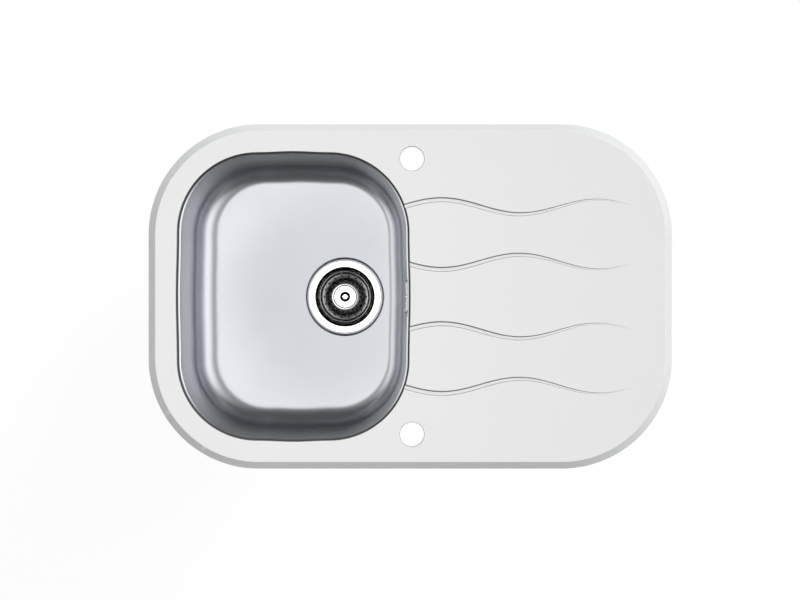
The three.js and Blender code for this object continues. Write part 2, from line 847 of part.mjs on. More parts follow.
const knobTop = basketTop;
const knobWell = knobTop - knobWellDepth;

function makeKnob() {
    const under = knobTop - knobThickness;
    const groove = knobGrooveWidth / 2;
    return revolved([
        [pegBore, basketFloor],
        [knobNeckRadius, basketFloor],
        [knobNeckRadius, under - knobFlare],
        [knobRadius - knobUndercut, under],
        [knobRadius, under + edgeBreak],
        [knobRadius, knobTop - edgeBreak],
        [knobRadius - edgeBreak, knobTop],
        [knobGrooveRadius + groove, knobTop],
        [knobGrooveRadius, knobTop - edgeBreak],
        [knobGrooveRadius - groove, knobTop],
        [knobWellRadius, knobTop],
        [knobWellRadius, knobWell],
        [pegBore, knobWell],
    ], knobFacets, true);
}

addPiece(waste, 'basket_knob', makeKnob(), 'polishedSteel');

const stem = revolved([
    [0, pegTip],
    [stemRadius - pegTaper, pegTip],
    [stemRadius, pegTip + 2 * pegTaper],
    [stemRadius, knobWell],
    [stemHeadRadius, knobWell],
    [stemHeadRadius, knobWell + stemHeadEdge],
    [stemRadius, knobWell + stemHeadHeight],
    [0, knobWell + stemHeadHeight],
], smallFacets);
addPiece(waste, 'basket_stem', stem, 'polishedSteel');

// ---- Overflow ---------------------------------------------------------------------------------

sink.add(overflowGroup);

const coverFace = -pocketDepth;

// A plate with a stepped edge and two banks of three slots, flush with the wall round its pocket
function makeOverflowCover() {
    const width = pocketWidth - 2 * pocketMargin;
    const back = overflowPlate(width, coverHeight, coverCorner, coverFace + coverBevel,
        -seatedGap, 2);
    const front = overflowPlate(width - 2 * coverBevel, coverHeight - 2 * coverBevel,
        coverCorner - coverBevel, coverFace, -seatedGap, 2);
    const slot = overflowPlate(coverSlotWidth, coverSlotHeight, coverSlotHeight / 2,
        coverFace - past, past, 1);
    const slots = [-1, 1].flatMap((side) => [-1, 0, 1].map((row) =>
        slot.translate([0, side * coverSlotOffset, row * coverSlotPitch])));
    const screwHoleRadius = overflowScrewRadius + fitGap;
    const hole = alongX(rod(screwHoleRadius, coverFace - past, past, smallFacets), 0, 0);
    return cut(joined(back, front), hole, ...slots);
}

addPiece(overflowGroup, 'overflow_cover', makeOverflowCover(), 'polishedSteel');

const sealFrom = bowlSheet + seatedGap;
const sealTo = sealFrom + overflowSealThickness;
const overflowSeal = cut(
    overflowPlate(elbowWidth, elbowHeight, overflowSealCorner, sealFrom, sealTo),
    overflowPlate(elbowWidth - 2 * overflowSealLand, elbowHeight - 2 * overflowSealLand,
        overflowSealCorner - overflowSealLand / 2, sealFrom - past, sealTo + past),
);
addPiece(overflowGroup, 'overflow_seal', overflowSeal, 'rubber');

const postEnd = sealTo + postLength;
const overflowScrewEnd = postEnd - 2 * edgeBreak;
const overflowScrew = alongX(revolved([
    [0, coverFace - overflowHeadHeight],
    [overflowHeadRadius - overflowHeadEdge * 2, coverFace - overflowHeadHeight],
    [overflowHeadRadius, coverFace - overflowHeadEdge],
    [overflowHeadRadius, coverFace],
    [overflowScrewRadius, coverFace],
    [overflowScrewRadius, overflowScrewEnd],
    [0, overflowScrewEnd],
], smallFacets), 0, 0);
addPiece(overflowGroup, 'overflow_screw', overflowScrew, 'polishedSteel');

// Elbow behind the wall: an upright housing trimmed square to the seal, with a spigot downwards
const pipeX = openingRight + pipeSetback;
const housingBack = overflowGroup.position.x + bowlSheet + elbowDepth;
const housingTop = overflowZ + elbowHeight / 2;
const housingFoot = overflowZ - elbowHeight / 2;
const upperSpigotEnd = housingFoot - spigotLength;

function makeElbow() {
    const front = overflowGroup.position.x - elbowDepth;
    const half = elbowWidth / 2;
    const housing = block(front, housingBack, -half, half, housingFoot, housingTop);
    const downPipe = (radius, low, high) => rod(radius, low, high, pipeFacets).translate([pipeX, 0, 0]);
    const spigot = downPipe(spigotRadius, upperSpigotEnd, overflowZ);
    const room = block(front, housingBack - elbowWall, elbowSideWall - half, half - elbowSideWall,
        housingFoot + elbowWall, housingTop - elbowWall);
    const post = inOverflow(alongX(rod(postRadius, 0, elbowDepth, smallFacets), 0, 0));
    const bore = downPipe(pipeBore, upperSpigotEnd - past, overflowZ);
    const socket = downPipe(pipeRadius + fitGap, upperSpigotEnd - past, housingFoot);
    const screwBore = rod(overflowScrewRadius + fitGap, -elbowDepth, postEnd, smallFacets);
    const bowlSide = block(-elbowDepth * 2, sealTo, -elbowWidth, elbowWidth, -elbowWidth, elbowWidth);
    const hollow = cut(joined(housing, spigot), room, bore, socket);
    const postInside = post.intersect(housing);
    return cut(joined(hollow, postInside), inOverflow(alongX(screwBore, 0, 0)), inOverflow(bowlSide));
}

addPiece(sink, 'overflow_elbow', makeElbow(), 'blackPlastic');

// The rigid pipe drops from the elbow and bends into the body's inlet
const pipeTopEnd = housingFoot - fitGap;
const inletZ = seatTop + inletAxis;
const pipeInletEnd = wasteX + chamberRadius + fitGap;

function pipeRings(radius) {
    const stations = [[pipeX, pipeTopEnd, 0]];
    const centreX = pipeX - pipeBendRadius;
    const centreZ = inletZ + pipeBendRadius;
    for (let i = 0; i <= pipeBendSteps; i++) {
        const angle = (Math.PI / 2) * (i / pipeBendSteps);
        stations.push([centreX + pipeBendRadius * Math.cos(angle),
            centreZ - pipeBendRadius * Math.sin(angle), angle]);
    }
    stations.push([pipeInletEnd, inletZ, Math.PI / 2]);
    return stations.map(([x, z, angle]) => Array.from({ length: pipeFacets }, (_, i) => {
        const turn = (2 * Math.PI * i) / pipeFacets;
        const across = radius * Math.cos(turn);
        return new THREE.Vector3(x + across * Math.cos(angle), radius * Math.sin(turn),
            z - across * Math.sin(angle));
    }));
}

function makePipe() {
    const outer = pipeRings(pipeRadius);
    const inner = pipeRings(pipeBore);
    return lofted([...outer, ...inner.reverse()], true);
}

addPiece(sink, 'overflow_pipe', makePipe(), 'blackPlastic');

// A compression nut and its ring around the pipe, drawn along +Z from the spigot's end
function addCompressionJoint(name, x, z, turn) {
    const joint = new THREE.Group();
    joint.position.set(x, 0, z);
    joint.rotation.y = turn;
    sink.add(joint);
    const thread = spigotRadius + fitGap;
    const outer = thread + nutWall;
    const skirt = ringLength - nutLength;
    const end = ringLength + nutWall;
    const body = revolved([
        [pipeRadius + fitGap, end],
        [outer - edgeBreak, end],
        [outer, end - edgeBreak],
        [outer, skirt],
        [thread, skirt],
        [thread, ringLength],
        [pipeRadius + fitGap, ringLength],
    ], pipeFacets, true);
    const grip = block(outer - past, outer + nutGripHeight, -nutGripWidth / 2, nutGripWidth / 2,
        skirt + edgeBreak, end - 2 * edgeBreak);
    const grips = Array.from({ length: nutGripCount }, (_, i) =>
        grip.rotate([0, 0, (360 * i) / nutGripCount]));
    addPiece(joint, 'overflow_nut_' + name, joined(body, ...grips), 'blackPlastic');
    const ring = tube(pipeRadius + fitGap, spigotRadius - ringSlack, 0, ringLength, pipeFacets);
    addPiece(joint, 'overflow_ring_' + name, ring, 'rubber');
}

addCompressionJoint('upper', pipeX, upperSpigotEnd, Math.PI);
addCompressionJoint('lower', wasteX + inletEnd, inletZ, Math.PI / 2);

// ---- Drainer frame ----------------------------------------------------------------------------

const frameX = tapHoleOffset + backnutRadius + frameStart;

// The part of a ring between two panel outlines that lies on the drainer's side of a line
function drainerBand(outerInset, innerInset, fromX, low, high) {
    const band = flatRing(panelOutline(outerInset), panelOutline(innerInset), low, high);
    const rest = block(-panelLength, fromX, -panelWidth, panelWidth, low - past, high + past);
    return cut(band, rest);
}

// An angle: a flat strip with a lip turned down along its inner edge
function makeFrame() {
    const inner = frameInset + frameWidth;
    const low = flangeTop - frameSheet - frameLip;
    const strip = drainerBand(frameInset, inner, frameX, low, flangeTop);
    const spare = flatRing(panelOutline(frameInset - past), panelOutline(inner - frameSheet),
        low - past, flangeTop - frameSheet);
    return cut(strip, spare);
}

addPiece(sink, 'drainer_frame', makeFrame(), 'zincSteel');

const frameBond = drainerBand(frameInset + bondMargin, frameInset + frameWidth - bondMargin,
    frameX + bondMargin, flangeTop, glassBottom);
addPiece(sink, 'frame_bond', frameBond, 'adhesive');

// ---- Fixing clips, shown parked ---------------------------------------------------------------

const clawGrip = -thickestWorktop - clawSlack;
const clawTop = clawGrip - clawTooth;
const hubFootZ = clawTop - clawHubHeight;
const clipTravel = -clawGrip - thinnestWorktop;
const tabTop = flangeBottom - clipSheet - clipHeadroom - clipTravel - clipScrewLead;

// A strip folded to a Z: the plate under the flange, the web, and the tab that holds the screw
function makeClipBracket() {
    const low = tabTop - clipSheet;
    const backs = -clipBackset;
    const fold = new THREE.Shape([
        new THREE.Vector2(backs, low),
        new THREE.Vector2(clawHubRadius, low),
        new THREE.Vector2(clawHubRadius, tabTop),
        new THREE.Vector2(backs + clipSheet, tabTop),
        new THREE.Vector2(backs + clipSheet, flangeBottom),
        new THREE.Vector2(backs + clipSheet - clipPlate, flangeBottom),
        new THREE.Vector2(backs + clipSheet - clipPlate, flangeBottom - clipSheet),
        new THREE.Vector2(backs, flangeBottom - clipSheet),
    ]);
    const strip = solidOf(prism(fold, -clipWidth / 2, clipWidth / 2).rotateX(Math.PI / 2));
    return cut(strip, rod(clipScrewRadius + fitGap, low - past, tabTop + past, smallFacets));
}

function makeClipScrew() {
    const neck = hubFootZ - fitGap;
    const head = neck - clipHeadHeight;
    const screw = revolved([
        [0, head],
        [clipHeadRadius, head],
        [clipHeadRadius, neck],
        [clipScrewRadius, neck],
        [clipScrewRadius, tabTop],
        [clipScrewRadius - clipScrewLead, tabTop + clipScrewLead],
        [0, tabTop + clipScrewLead],
    ], smallFacets);
    const slot = block(-clipHeadRadius, clipHeadRadius, -clipSlotWidth / 2, clipSlotWidth / 2,
        head - past, head + clipSlotDepth);
    return cut(screw, slot);
}

// The claw's arm lies along the panel's edge, with its gripping tip turned up
function makeClaw() {
    const side = new THREE.Shape([
        new THREE.Vector2(0, clawTop - clawSheet),
        new THREE.Vector2(clawReach, clawTop - clawSheet),
        new THREE.Vector2(clawReach, clawGrip),
        new THREE.Vector2(clawReach - clawToothLength, clawGrip),
        new THREE.Vector2(clawReach - clawToothLength, clawTop),
        new THREE.Vector2(0, clawTop),
    ]);
    const arm = solidOf(prism(side, -clawWidth / 2, clawWidth / 2).rotateX(Math.PI / 2));
    const hub = rod(clawHubRadius, hubFootZ, clawTop, smallFacets);
    const hole = rod(clipScrewRadius + fitGap, hubFootZ - past, clawTop + past, smallFacets);
    return cut(joined(arm, hub), hole).rotate([0, 0, 90]);
}

const clipLineY = panelWidth / 2 - clipInset;
const clipLineX = panelLength / 2 - clipInset;
const clipPlaces = [
    [bowlX, clipLineY, 90],
    [clipSpread, clipLineY, 90],
    [clipLineX, 0, 0],
    [clipSpread, -clipLineY, -90],
    [bowlX, -clipLineY, -90],
    [-clipLineX, 0, 180],
];

clipPlaces.forEach(([x, y, turn], i) => {
    const clip = new THREE.Group();
    clip.position.set(x, y, 0);
    clip.rotation.z = THREE.MathUtils.degToRad(turn);
    sink.add(clip);
    const name = `clip_${i + 1}_`;
    addPiece(clip, name + 'bracket', makeClipBracket(), 'zincSteel');
    addPiece(clip, name + 'screw', makeClipScrew(), 'zincSteel');
    addPiece(clip, name + 'claw', makeClaw(), 'zincSteel');
});

export default sink;
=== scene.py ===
import json
import math

import bmesh
import bpy
from mathutils import Matrix, Vector


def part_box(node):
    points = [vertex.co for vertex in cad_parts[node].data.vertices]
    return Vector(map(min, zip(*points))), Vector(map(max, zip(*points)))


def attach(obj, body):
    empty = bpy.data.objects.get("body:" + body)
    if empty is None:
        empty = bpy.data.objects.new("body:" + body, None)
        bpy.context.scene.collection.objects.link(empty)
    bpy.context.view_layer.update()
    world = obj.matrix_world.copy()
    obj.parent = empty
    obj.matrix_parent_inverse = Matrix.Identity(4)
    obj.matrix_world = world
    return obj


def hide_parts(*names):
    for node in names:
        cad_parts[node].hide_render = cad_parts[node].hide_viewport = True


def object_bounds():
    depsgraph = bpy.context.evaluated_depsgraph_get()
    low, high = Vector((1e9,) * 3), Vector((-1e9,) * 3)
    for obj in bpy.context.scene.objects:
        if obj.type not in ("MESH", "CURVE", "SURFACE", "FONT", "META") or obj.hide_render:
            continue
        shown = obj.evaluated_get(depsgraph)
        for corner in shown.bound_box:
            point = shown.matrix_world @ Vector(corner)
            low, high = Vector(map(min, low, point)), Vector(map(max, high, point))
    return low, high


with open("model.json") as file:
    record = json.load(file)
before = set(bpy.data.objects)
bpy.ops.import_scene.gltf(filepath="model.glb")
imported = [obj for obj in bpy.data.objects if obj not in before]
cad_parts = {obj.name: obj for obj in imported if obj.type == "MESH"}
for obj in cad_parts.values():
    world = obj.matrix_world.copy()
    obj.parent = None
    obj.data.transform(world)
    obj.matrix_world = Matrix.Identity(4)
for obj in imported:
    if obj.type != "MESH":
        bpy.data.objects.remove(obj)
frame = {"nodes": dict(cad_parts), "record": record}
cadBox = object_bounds()
mm = 0.001
near = 0.01 * mm  # how close counts as the same place
up = Vector((0, 0, 1))
origin = Vector((0, 0, 0))


# small helpers


def freshStart():  # object mode with nothing selected
    if bpy.context.object and bpy.context.object.mode != "OBJECT":
        bpy.ops.object.mode_set(mode="OBJECT")
    bpy.ops.object.select_all(action="DESELECT")


def active(piece):
    freshStart()
    bpy.context.view_layer.objects.active = piece
    piece.select_set(True)


def toEdit():
    bpy.ops.object.mode_set(mode="EDIT")
    bpy.ops.mesh.select_all(action="SELECT")


def toObject():
    bpy.ops.object.mode_set(mode="OBJECT")


def pick(kind, test):  # in edit mode: selects the verts, edges or faces that pass the test
    mesh = bmesh.from_edit_mesh(bpy.context.object.data)
    modes = {"verts": "VERT", "edges": "EDGE", "faces": "FACE"}
    bpy.ops.mesh.select_mode(type=modes[kind])
    bpy.ops.mesh.select_all(action="DESELECT")
    for item in getattr(mesh, kind):
        if test(item):
            item.select_set(True)
    mesh.select_flush_mode()
    bmesh.update_edit_mesh(bpy.context.object.data)


def middleOf(item):
    return sum((v.co for v in item.verts), Vector()) / len(item.verts)


def under(level):  # two tests for edges: all at or under a level, and all at or over it
    return lambda edge: max(v.co.z for v in edge.verts) < level + near


def over(level):
    return lambda edge: min(v.co.z for v in edge.verts) > level - near


def bevelled(test, width, steps):  # in edit mode: rounds the edges that pass the test
    pick("edges", test)
    bpy.ops.mesh.bevel(offset=width, segments=steps, affect="EDGES")


def drawOn(move):  # in edit mode: extrudes the selected faces
    bpy.ops.mesh.extrude_region_move(TRANSFORM_OT_translate={"value": move})


def drawEdges(move):  # in edit mode: extrudes the selected edges
    bpy.ops.mesh.extrude_edges_move(TRANSFORM_OT_translate={"value": move})


def resized(size, centre):
    bpy.ops.transform.resize(value=size, center_override=centre)


def applied(piece, kind, **settings):  # adds one modifier and applies it
    active(piece)
    modifier = piece.modifiers.new(kind.lower(), kind)
    for name, value in settings.items():
        setattr(modifier, name, value)
    bpy.ops.object.modifier_apply(modifier=modifier.name)
    return piece


def combined(piece, other, how):  # one boolean, which uses the other shape up
    applied(piece, "BOOLEAN", operation=how, object=other, solver="EXACT")
    bpy.data.objects.remove(other)
    return piece


def minus(piece, cutter):
    return combined(piece, cutter, "DIFFERENCE")


def plus(piece, other):
    return combined(piece, other, "UNION")


def thickened(piece, sheet):  # the skin drawn is the outer face
    return applied(piece, "SOLIDIFY", thickness=sheet, offset=-1, use_even_offset=True)


def edgesBroken(piece, width=0.25 * mm, sharper=50):  # a fine chamfer on all sharp edges
    return applied(piece, "BEVEL", width=width, segments=2, limit_method="ANGLE",
                   angle_limit=math.radians(sharper))


def placed(piece):  # the object's place goes into its mesh
    active(piece)
    bpy.ops.object.transform_apply(location=True, rotation=True, scale=True)
    return piece


def started(name, scale=(1, 1, 1), turn=(0, 0, 0)):  # names and places the primitive just added
    piece = bpy.context.object
    piece.name = name
    piece.scale = scale
    piece.rotation_euler = turn
    return placed(piece)


def copied(piece, name, move):
    twin = piece.copy()
    twin.data = piece.data.copy()
    twin.name = name
    bpy.context.scene.collection.objects.link(twin)
    twin.matrix_world = move @ twin.matrix_world
    return placed(twin)


def turnAbout(centre, degrees):  # about an upright axis
    turn = Matrix.Rotation(math.radians(degrees), 4, "Z")
    return Matrix.Translation(centre) @ turn @ Matrix.Translation(-centre)


def spun(steps, degrees, centre, axis):  # carries the selected end round a bend
    bpy.ops.mesh.spin(steps=steps, angle=math.radians(degrees), center=centre, axis=axis)


def ringOf(piece, count, centre, start=0):  # copies all round an upright axis, as one object
    turns = [turnAbout(centre, start + 360 * i / count) for i in range(count)]
    copies = [copied(piece, "ring", turn) for turn in turns]
    bpy.data.objects.remove(piece)
    active(copies[0])
    for twin in copies:
        twin.select_set(True)
    bpy.ops.object.join()
    return placed(copies[0])


def facedOut(piece, merge=0.001 * mm):  # merges doubles and turns the faces outwards
    active(piece)
    toEdit()
    bpy.ops.mesh.remove_doubles(threshold=merge)
    bpy.ops.mesh.normals_make_consistent(inside=False)
    toObject()
    return piece


def block(low, high, name="block"):  # a box between two corners in metres
    freshStart()
    low, high = Vector(low), Vector(high)
    bpy.ops.mesh.primitive_cube_add(size=1, location=(low + high) / 2)
    return started(name, high - low)


def rod(radius, low, high, steps=32):  # a cylinder from one end point to the other
    freshStart()
    low, high = Vector(low), Vector(high)
    bpy.ops.mesh.primitive_cylinder_add(vertices=steps, radius=radius, depth=(high - low).length,
                                        location=(low + high) / 2)
    return started("rod", turn=up.rotation_difference(high - low).to_euler())


def post(radius, foot, low, high, steps=32):  # an upright rod between two heights over its foot
    return rod(radius, foot + up * low, foot + up * high, steps)


def faceStart(name, centre, size, turn=(0, 0, 0)):  # one flat face, left in edit mode
    freshStart()
    bpy.ops.mesh.primitive_plane_add(size=1, location=centre)
    piece = started(name, (size[0], size[1], 1), turn)
    toEdit()
    return piece


def circleStart(name, centre, radius, steps):  # one ring of edges, left in edit mode
    freshStart()
    bpy.ops.mesh.primitive_circle_add(vertices=steps, radius=radius, location=centre)
    piece = started(name)
    toEdit()
    return piece


def roundedPlate(size, radius, low, high, centre=(0, 0), steps=8, name="plate"):  # between heights
    piece = faceStart(name, (centre[0], centre[1], low), size)
    bpy.ops.mesh.bevel(offset=radius, segments=steps, affect="VERTICES")
    bpy.ops.mesh.select_all(action="SELECT")
    drawOn((0, 0, high - low))
    return facedOut(piece)


# a round piece: a circle extruded and scaled along [radius, height] points in millimetres
def turned(name, profile, centre, steps=96, closed=False):
    x, y, z = centre
    tip = 0.01 * mm  # the least radius; what is left open on the axis is merged
    points = [(max(radius * mm, tip), z + height * mm) for radius, height in profile]
    if closed:
        points.append(points[0])
    reach, level = points[0]
    piece = circleStart(name, (x, y, level), reach, steps)
    for radius, height in points[1:]:
        drawEdges((0, 0, height - level))
        resized((radius / reach, radius / reach, 1), (x, y, height))
        reach, level = radius, height
    return facedOut(piece, 2.2 * tip)


def walled(path, thickness):  # the closed profile of a sheet: a path, and back at its offset
    offset = []
    for i, point in enumerate(path):
        before = path[max(i - 1, 0)]
        after = path[min(i + 1, len(path) - 1)]
        steps = []
        for start, end in ((before, point), (point, after)):
            run, rise = end[0] - start[0], end[1] - start[1]
            length = math.hypot(run, rise)
            if length > 0:
                steps.append((-rise / length, run / length))
        first, last = steps[0], steps[-1]
        size = thickness / (1 + first[0] * last[0] + first[1] * last[1])
        offset.append((point[0] + (first[0] + last[0]) * size,
                       point[1] + (first[1] + last[1]) * size))
    return list(path) + offset[::-1]


def arc(centre, radius, start, end, steps):  # points of a profile's round stretch, in degrees
    points = []
    for i in range(steps + 1):
        angle = math.radians(start + (end - start) * i / steps)
        points.append((centre[0] + radius * math.cos(angle), centre[1] + radius * math.sin(angle)))
    return points


# shader maths


class Wire:  # one output of a shader tree, so that shader maths reads as sums
    def __init__(self, tree, socket):
        self.tree = tree
        self.socket = socket

    def maths(self, how, first, second):
        return addNode(self.tree, "ShaderNodeMath", {"operation": how}, {0: first, 1: second})

    def __add__(self, other):
        return self.maths("ADD", self, other)

    def __radd__(self, other):
        return self.maths("ADD", other, self)

    def __sub__(self, other):
        return self.maths("SUBTRACT", self, other)

    def __rsub__(self, other):
        return self.maths("SUBTRACT", other, self)

    def __mul__(self, other):
        return self.maths("MULTIPLY", self, other)

    def __rmul__(self, other):
        return self.maths("MULTIPLY", other, self)

    def __pow__(self, other):
        return self.maths("POWER", self, other)

    def __lt__(self, other):
        return self.maths("LESS_THAN", self, other)

    def __gt__(self, other):
        return self.maths("GREATER_THAN", self, other)

    def __abs__(self):
        return self.maths("ABSOLUTE", self, 0.0)


def addNode(tree, kind, settings=None, values=None, output=0):
    node = tree.nodes.new(kind)
    for name, value in (settings or {}).items():
        setattr(node, name, value)
    for name, value in (values or {}).items():
        if isinstance(value, Wire):
            tree.links.new(value.socket, node.inputs[name])
        else:
            node.inputs[name].default_value = value
    return Wire(tree, node.outputs[output])


def grey(value, tint=(1, 1, 1)):
    return (value * tint[0], value * tint[1], value * tint[2], 1)


def newMaterial(name, **principled):  # a Principled surface with plain values on its sockets
    material = bpy.data.materials.new(name)
    material.use_nodes = True
    tree = material.node_tree
    shader = tree.nodes["Principled BSDF"]
    for socket, value in principled.items():
        shader.inputs[socket.replace("_", " ")].default_value = value
    return material, tree, shader


def feed(shader, **wires):
    for name, wire in wires.items():
        wire.tree.links.new(wire.socket, shader.inputs[name.replace("_", " ")])


def objectPlace(tree):
    return addNode(tree, "ShaderNodeTexCoord", output="Object")


def noise(place, scale, detail=4, rough=0.5, stretch=(1, 1, 1)):
    mapped = addNode(place.tree, "ShaderNodeMapping", {}, {"Vector": place, "Scale": stretch})
    return addNode(place.tree, "ShaderNodeTexNoise", {},
                   {"Vector": mapped, "Scale": scale, "Detail": detail, "Roughness": rough})


def mixColour(factor, first, second):
    return addNode(factor.tree, "ShaderNodeMix", {"data_type": "RGBA"},
                   {0: factor, 6: first, 7: second}, 2)


def bumpOf(height, strength, distance):
    return addNode(height.tree, "ShaderNodeBump", {},
                   {"Strength": strength, "Distance": distance, "Height": height})


def axisOf(place, axis):
    return addNode(place.tree, "ShaderNodeSeparateXYZ", {}, {"Vector": place}, axis)


def between(value, start, end):  # 1 from start to end, 0 elsewhere
    return (value > start) * (value < end)


def ramp(value, start, end, low=0.0, high=1.0):  # low up to start, high from end on
    return addNode(value.tree, "ShaderNodeMapRange", {"interpolation_type": "SMOOTHSTEP"},
                   {0: value, 1: start, 2: end, 3: low, 4: high})


# levels and places, read from the frame

panelLow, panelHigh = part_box("glass_panel")
middle = (panelLow + panelHigh) / 2
glassTop = panelHigh.z
glassBottom = panelLow.z
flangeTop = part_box("bowl")[1].z
waste = sum(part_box("strainer_flange"), origin) / 2
waste.y, waste.z = middle.y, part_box("flange_gasket")[0].z  # heights of the waste's pieces start here


def fromWaste(place):  # the distance from the waste's axis
    return ((axisOf(place, "X") - waste.x) ** 2.0 + (axisOf(place, "Y") - waste.y) ** 2.0) ** 0.5


def levels(node):  # a node's lowest and highest height over the waste seat, in millimetres
    low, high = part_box(node)
    return (low.z - waste.z) / mm, (high.z - waste.z) / mm


# the bowl's opening, whose outline the glass's look needs too

opening = {
    "left": 40 * mm,  # from the panel's edge
    "length": 340 * mm,
    "width": 421 * mm,
    "radius": 116 * mm,
    "bow": 1.6 * mm,  # how far the sides swell between the corners
    "arcSteps": 24,
    "sideCuts": 11,
    "arris": 0.6 * mm,
}
openingX = panelLow.x + opening["left"] + opening["length"] / 2
openingRight = openingX + opening["length"] / 2


# materials

glass = {
    "bevelFrom": 0.05 * mm,  # below the top; from here down the glass is ground
    "drainer": (340 * mm, 165 * mm),  # half sizes of the field that is never ground
    "grooveLift": 0.955,  # a normal's Z below this, near the top, is a groove's side, where shade is painted
    "grooveDrop": 1.7 * mm,
    "edgeLift": 0.5,  # the same for the opening's edge, where shade is painted
    "edgeDrop": 0.4 * mm,
    "edgeReach": 0.8 * mm,  # out from the opening
}


def whiteGlass():  # enamelled from below; the bevel is ground; painted shade darkens the grooves' sides, and the opening's edge, clear glass, is painted near black as the shade of the gap behind it
    material, tree, shader = newMaterial("whiteGlass", IOR=1.32)
    place = objectPlace(tree)
    height = axisOf(place, "Z")
    ground = height < glassTop - glass["bevelFrom"]
    speck = noise(place, 900, 3)
    cloud = noise(place, 5, 2)
    radius = opening["radius"]
    past = []
    for axis, centre, size in (("X", openingX, opening["length"]), ("Y", middle.y, opening["width"])):
        reach = abs(axisOf(place, axis) - centre) - (size / 2 - radius)
        past.append(reach.maths("MAXIMUM", reach, 0.0))
    outwards = (past[0] ** 2.0 + past[1] ** 2.0) ** 0.5
    normal = addNode(tree, "ShaderNodeNewGeometry", output="Normal")
    lift = abs(axisOf(normal, "Z"))
    # the grooves' sides, where shade is painted
    slope = (lift < glass["grooveLift"]) * (height > glassTop - glass["grooveDrop"])
    # the opening's edge: clear glass, painted near black with the shade of the gap behind it
    clear = ((lift < glass["edgeLift"]) * (outwards < radius + glass["edgeReach"])
             * (height < glassTop - glass["edgeDrop"]))
    face = mixColour(cloud, grey(0.785), grey(0.805))
    drainer = ((abs(axisOf(place, "X")) < glass["drainer"][0])
               * (abs(axisOf(place, "Y") - middle.y) < glass["drainer"][1]))
    tone = mixColour(ground * (1.0 - drainer), face, grey(0.62, (0.97, 1.0, 0.99)))
    # painted shade: the grooves' sides much darker than the ground glass
    tone = mixColour(slope, tone, grey(0.24, (0.96, 1.0, 0.98)))
    # painted shade: the opening's clear edge near black
    tone = mixColour(clear, tone, grey(0.07, (0.85, 1.0, 0.95)))
    feed(shader, Base_Color=tone, Roughness=0.05 + speck * 0.03 + ground * 0.05)
    return material


steel = {
    "dish": (50 * mm, 230 * mm),  # the floor falls to the waste between these distances
    "dishDepth": 5.5 * mm,
    "grain": 0.0012,  # of the dish's depth
    "worn": (60 * mm, 200 * mm),  # rougher up to here, and as drawn from there
    "wear": 0.025,
}


def satinSteel():
    material, tree, shader = newMaterial("satinSteel", Metallic=1.0)
    place = objectPlace(tree)
    grain = noise(place, 1500, 3, 0.6)
    cloud = noise(place, 14, 3)
    drawn = noise(place, 60, 3, 0.5, (1, 1, 0.08))
    tone = mixColour(cloud, grey(0.64, (0.96, 0.985, 1.035)), grey(0.70, (0.97, 0.985, 1.03)))
    reach = fromWaste(place)
    bump = bumpOf(ramp(reach, *steel["dish"]) + (grain + drawn) * steel["grain"], 1.0, steel["dishDepth"])
    wear = ramp(reach, *steel["worn"], steel["wear"], 0.0)
    feed(shader, Base_Color=tone, Roughness=0.27 + grain * 0.06 + wear, Normal=bump)
    return material


def brightSteel(name, tone, rough, haze=0.05):
    material, tree, shader = newMaterial(name, Metallic=1.0)
    place = objectPlace(tree)
    cloud = noise(place, 120, 3)
    fine = noise(place, 2600, 2)
    colour = mixColour(cloud, grey(tone - 0.03), grey(tone + 0.03))
    feed(shader, Base_Color=colour, Roughness=rough + haze * fine,
         Normal=bumpOf(fine, 0.02, 0.0001))
    return material


# where shade is painted on the knob's top
knob = {
    "groove": (16.7 * mm, 18.2 * mm),  # from and to, measured from the axis
    "well": (4.4 * mm, 7.8 * mm),
}


def knobSteelPaintedShade():  # painted shade: dark in its ring groove and in the well round the screw's head
    material, tree, shader = newMaterial("knobSteelPaintedShade", Metallic=1.0)
    place = objectPlace(tree)
    reach = fromWaste(place)
    fine = noise(place, 2600, 2)
    ring = between(reach, *knob["groove"])
    well = between(reach, *knob["well"])
    colour = mixColour(noise(place, 120, 3), grey(0.74), grey(0.8))
    # painted shade: near black in the groove and the well
    colour = mixColour(ring + well, colour, grey(0.035))
    feed(shader, Base_Color=colour, Roughness=0.08 + fine * 0.05 + (ring + well) * 0.4)
    return material


def zincSteel():  # zinc flakes in a soft grey
    material, tree, shader = newMaterial("zincSteel", Metallic=1.0)
    place = objectPlace(tree)
    flakes = addNode(tree, "ShaderNodeTexVoronoi", {}, {"Vector": place, "Scale": 260.0})
    cloud = noise(place, 40, 4)
    tone = mixColour(flakes * 0.7 + cloud * 0.3, grey(0.52, (1, 1.01, 1.02)), grey(0.66, (1, 1.01, 1.03)))
    feed(shader, Base_Color=tone, Roughness=0.32 + cloud * 0.2,
         Normal=bumpOf(flakes, 0.06, 0.0003))
    return material


def turnedBrass():
    material, tree, shader = newMaterial("turnedBrass", Metallic=1.0)
    place = objectPlace(tree)
    cloud = noise(place, 150, 4)
    tone = mixColour(cloud, (0.58, 0.43, 0.19, 1), (0.72, 0.57, 0.29, 1))
    feed(shader, Base_Color=tone, Roughness=0.22 + cloud * 0.15)
    return material


def dullBlack(name, low, high, rough, scale, strength):  # plastic, rubber or foam by its grain
    material, tree, shader = newMaterial(name)
    place = objectPlace(tree)
    grain = noise(place, scale, 4, 0.6)
    cloud = noise(place, 25, 3)
    tone = mixColour(cloud, grey(low), grey(high, (1, 1, 1.03)))
    feed(shader, Base_Color=tone, Roughness=rough + 0.15 * grain,
         Normal=bumpOf(grain, strength, 0.0006))
    return material


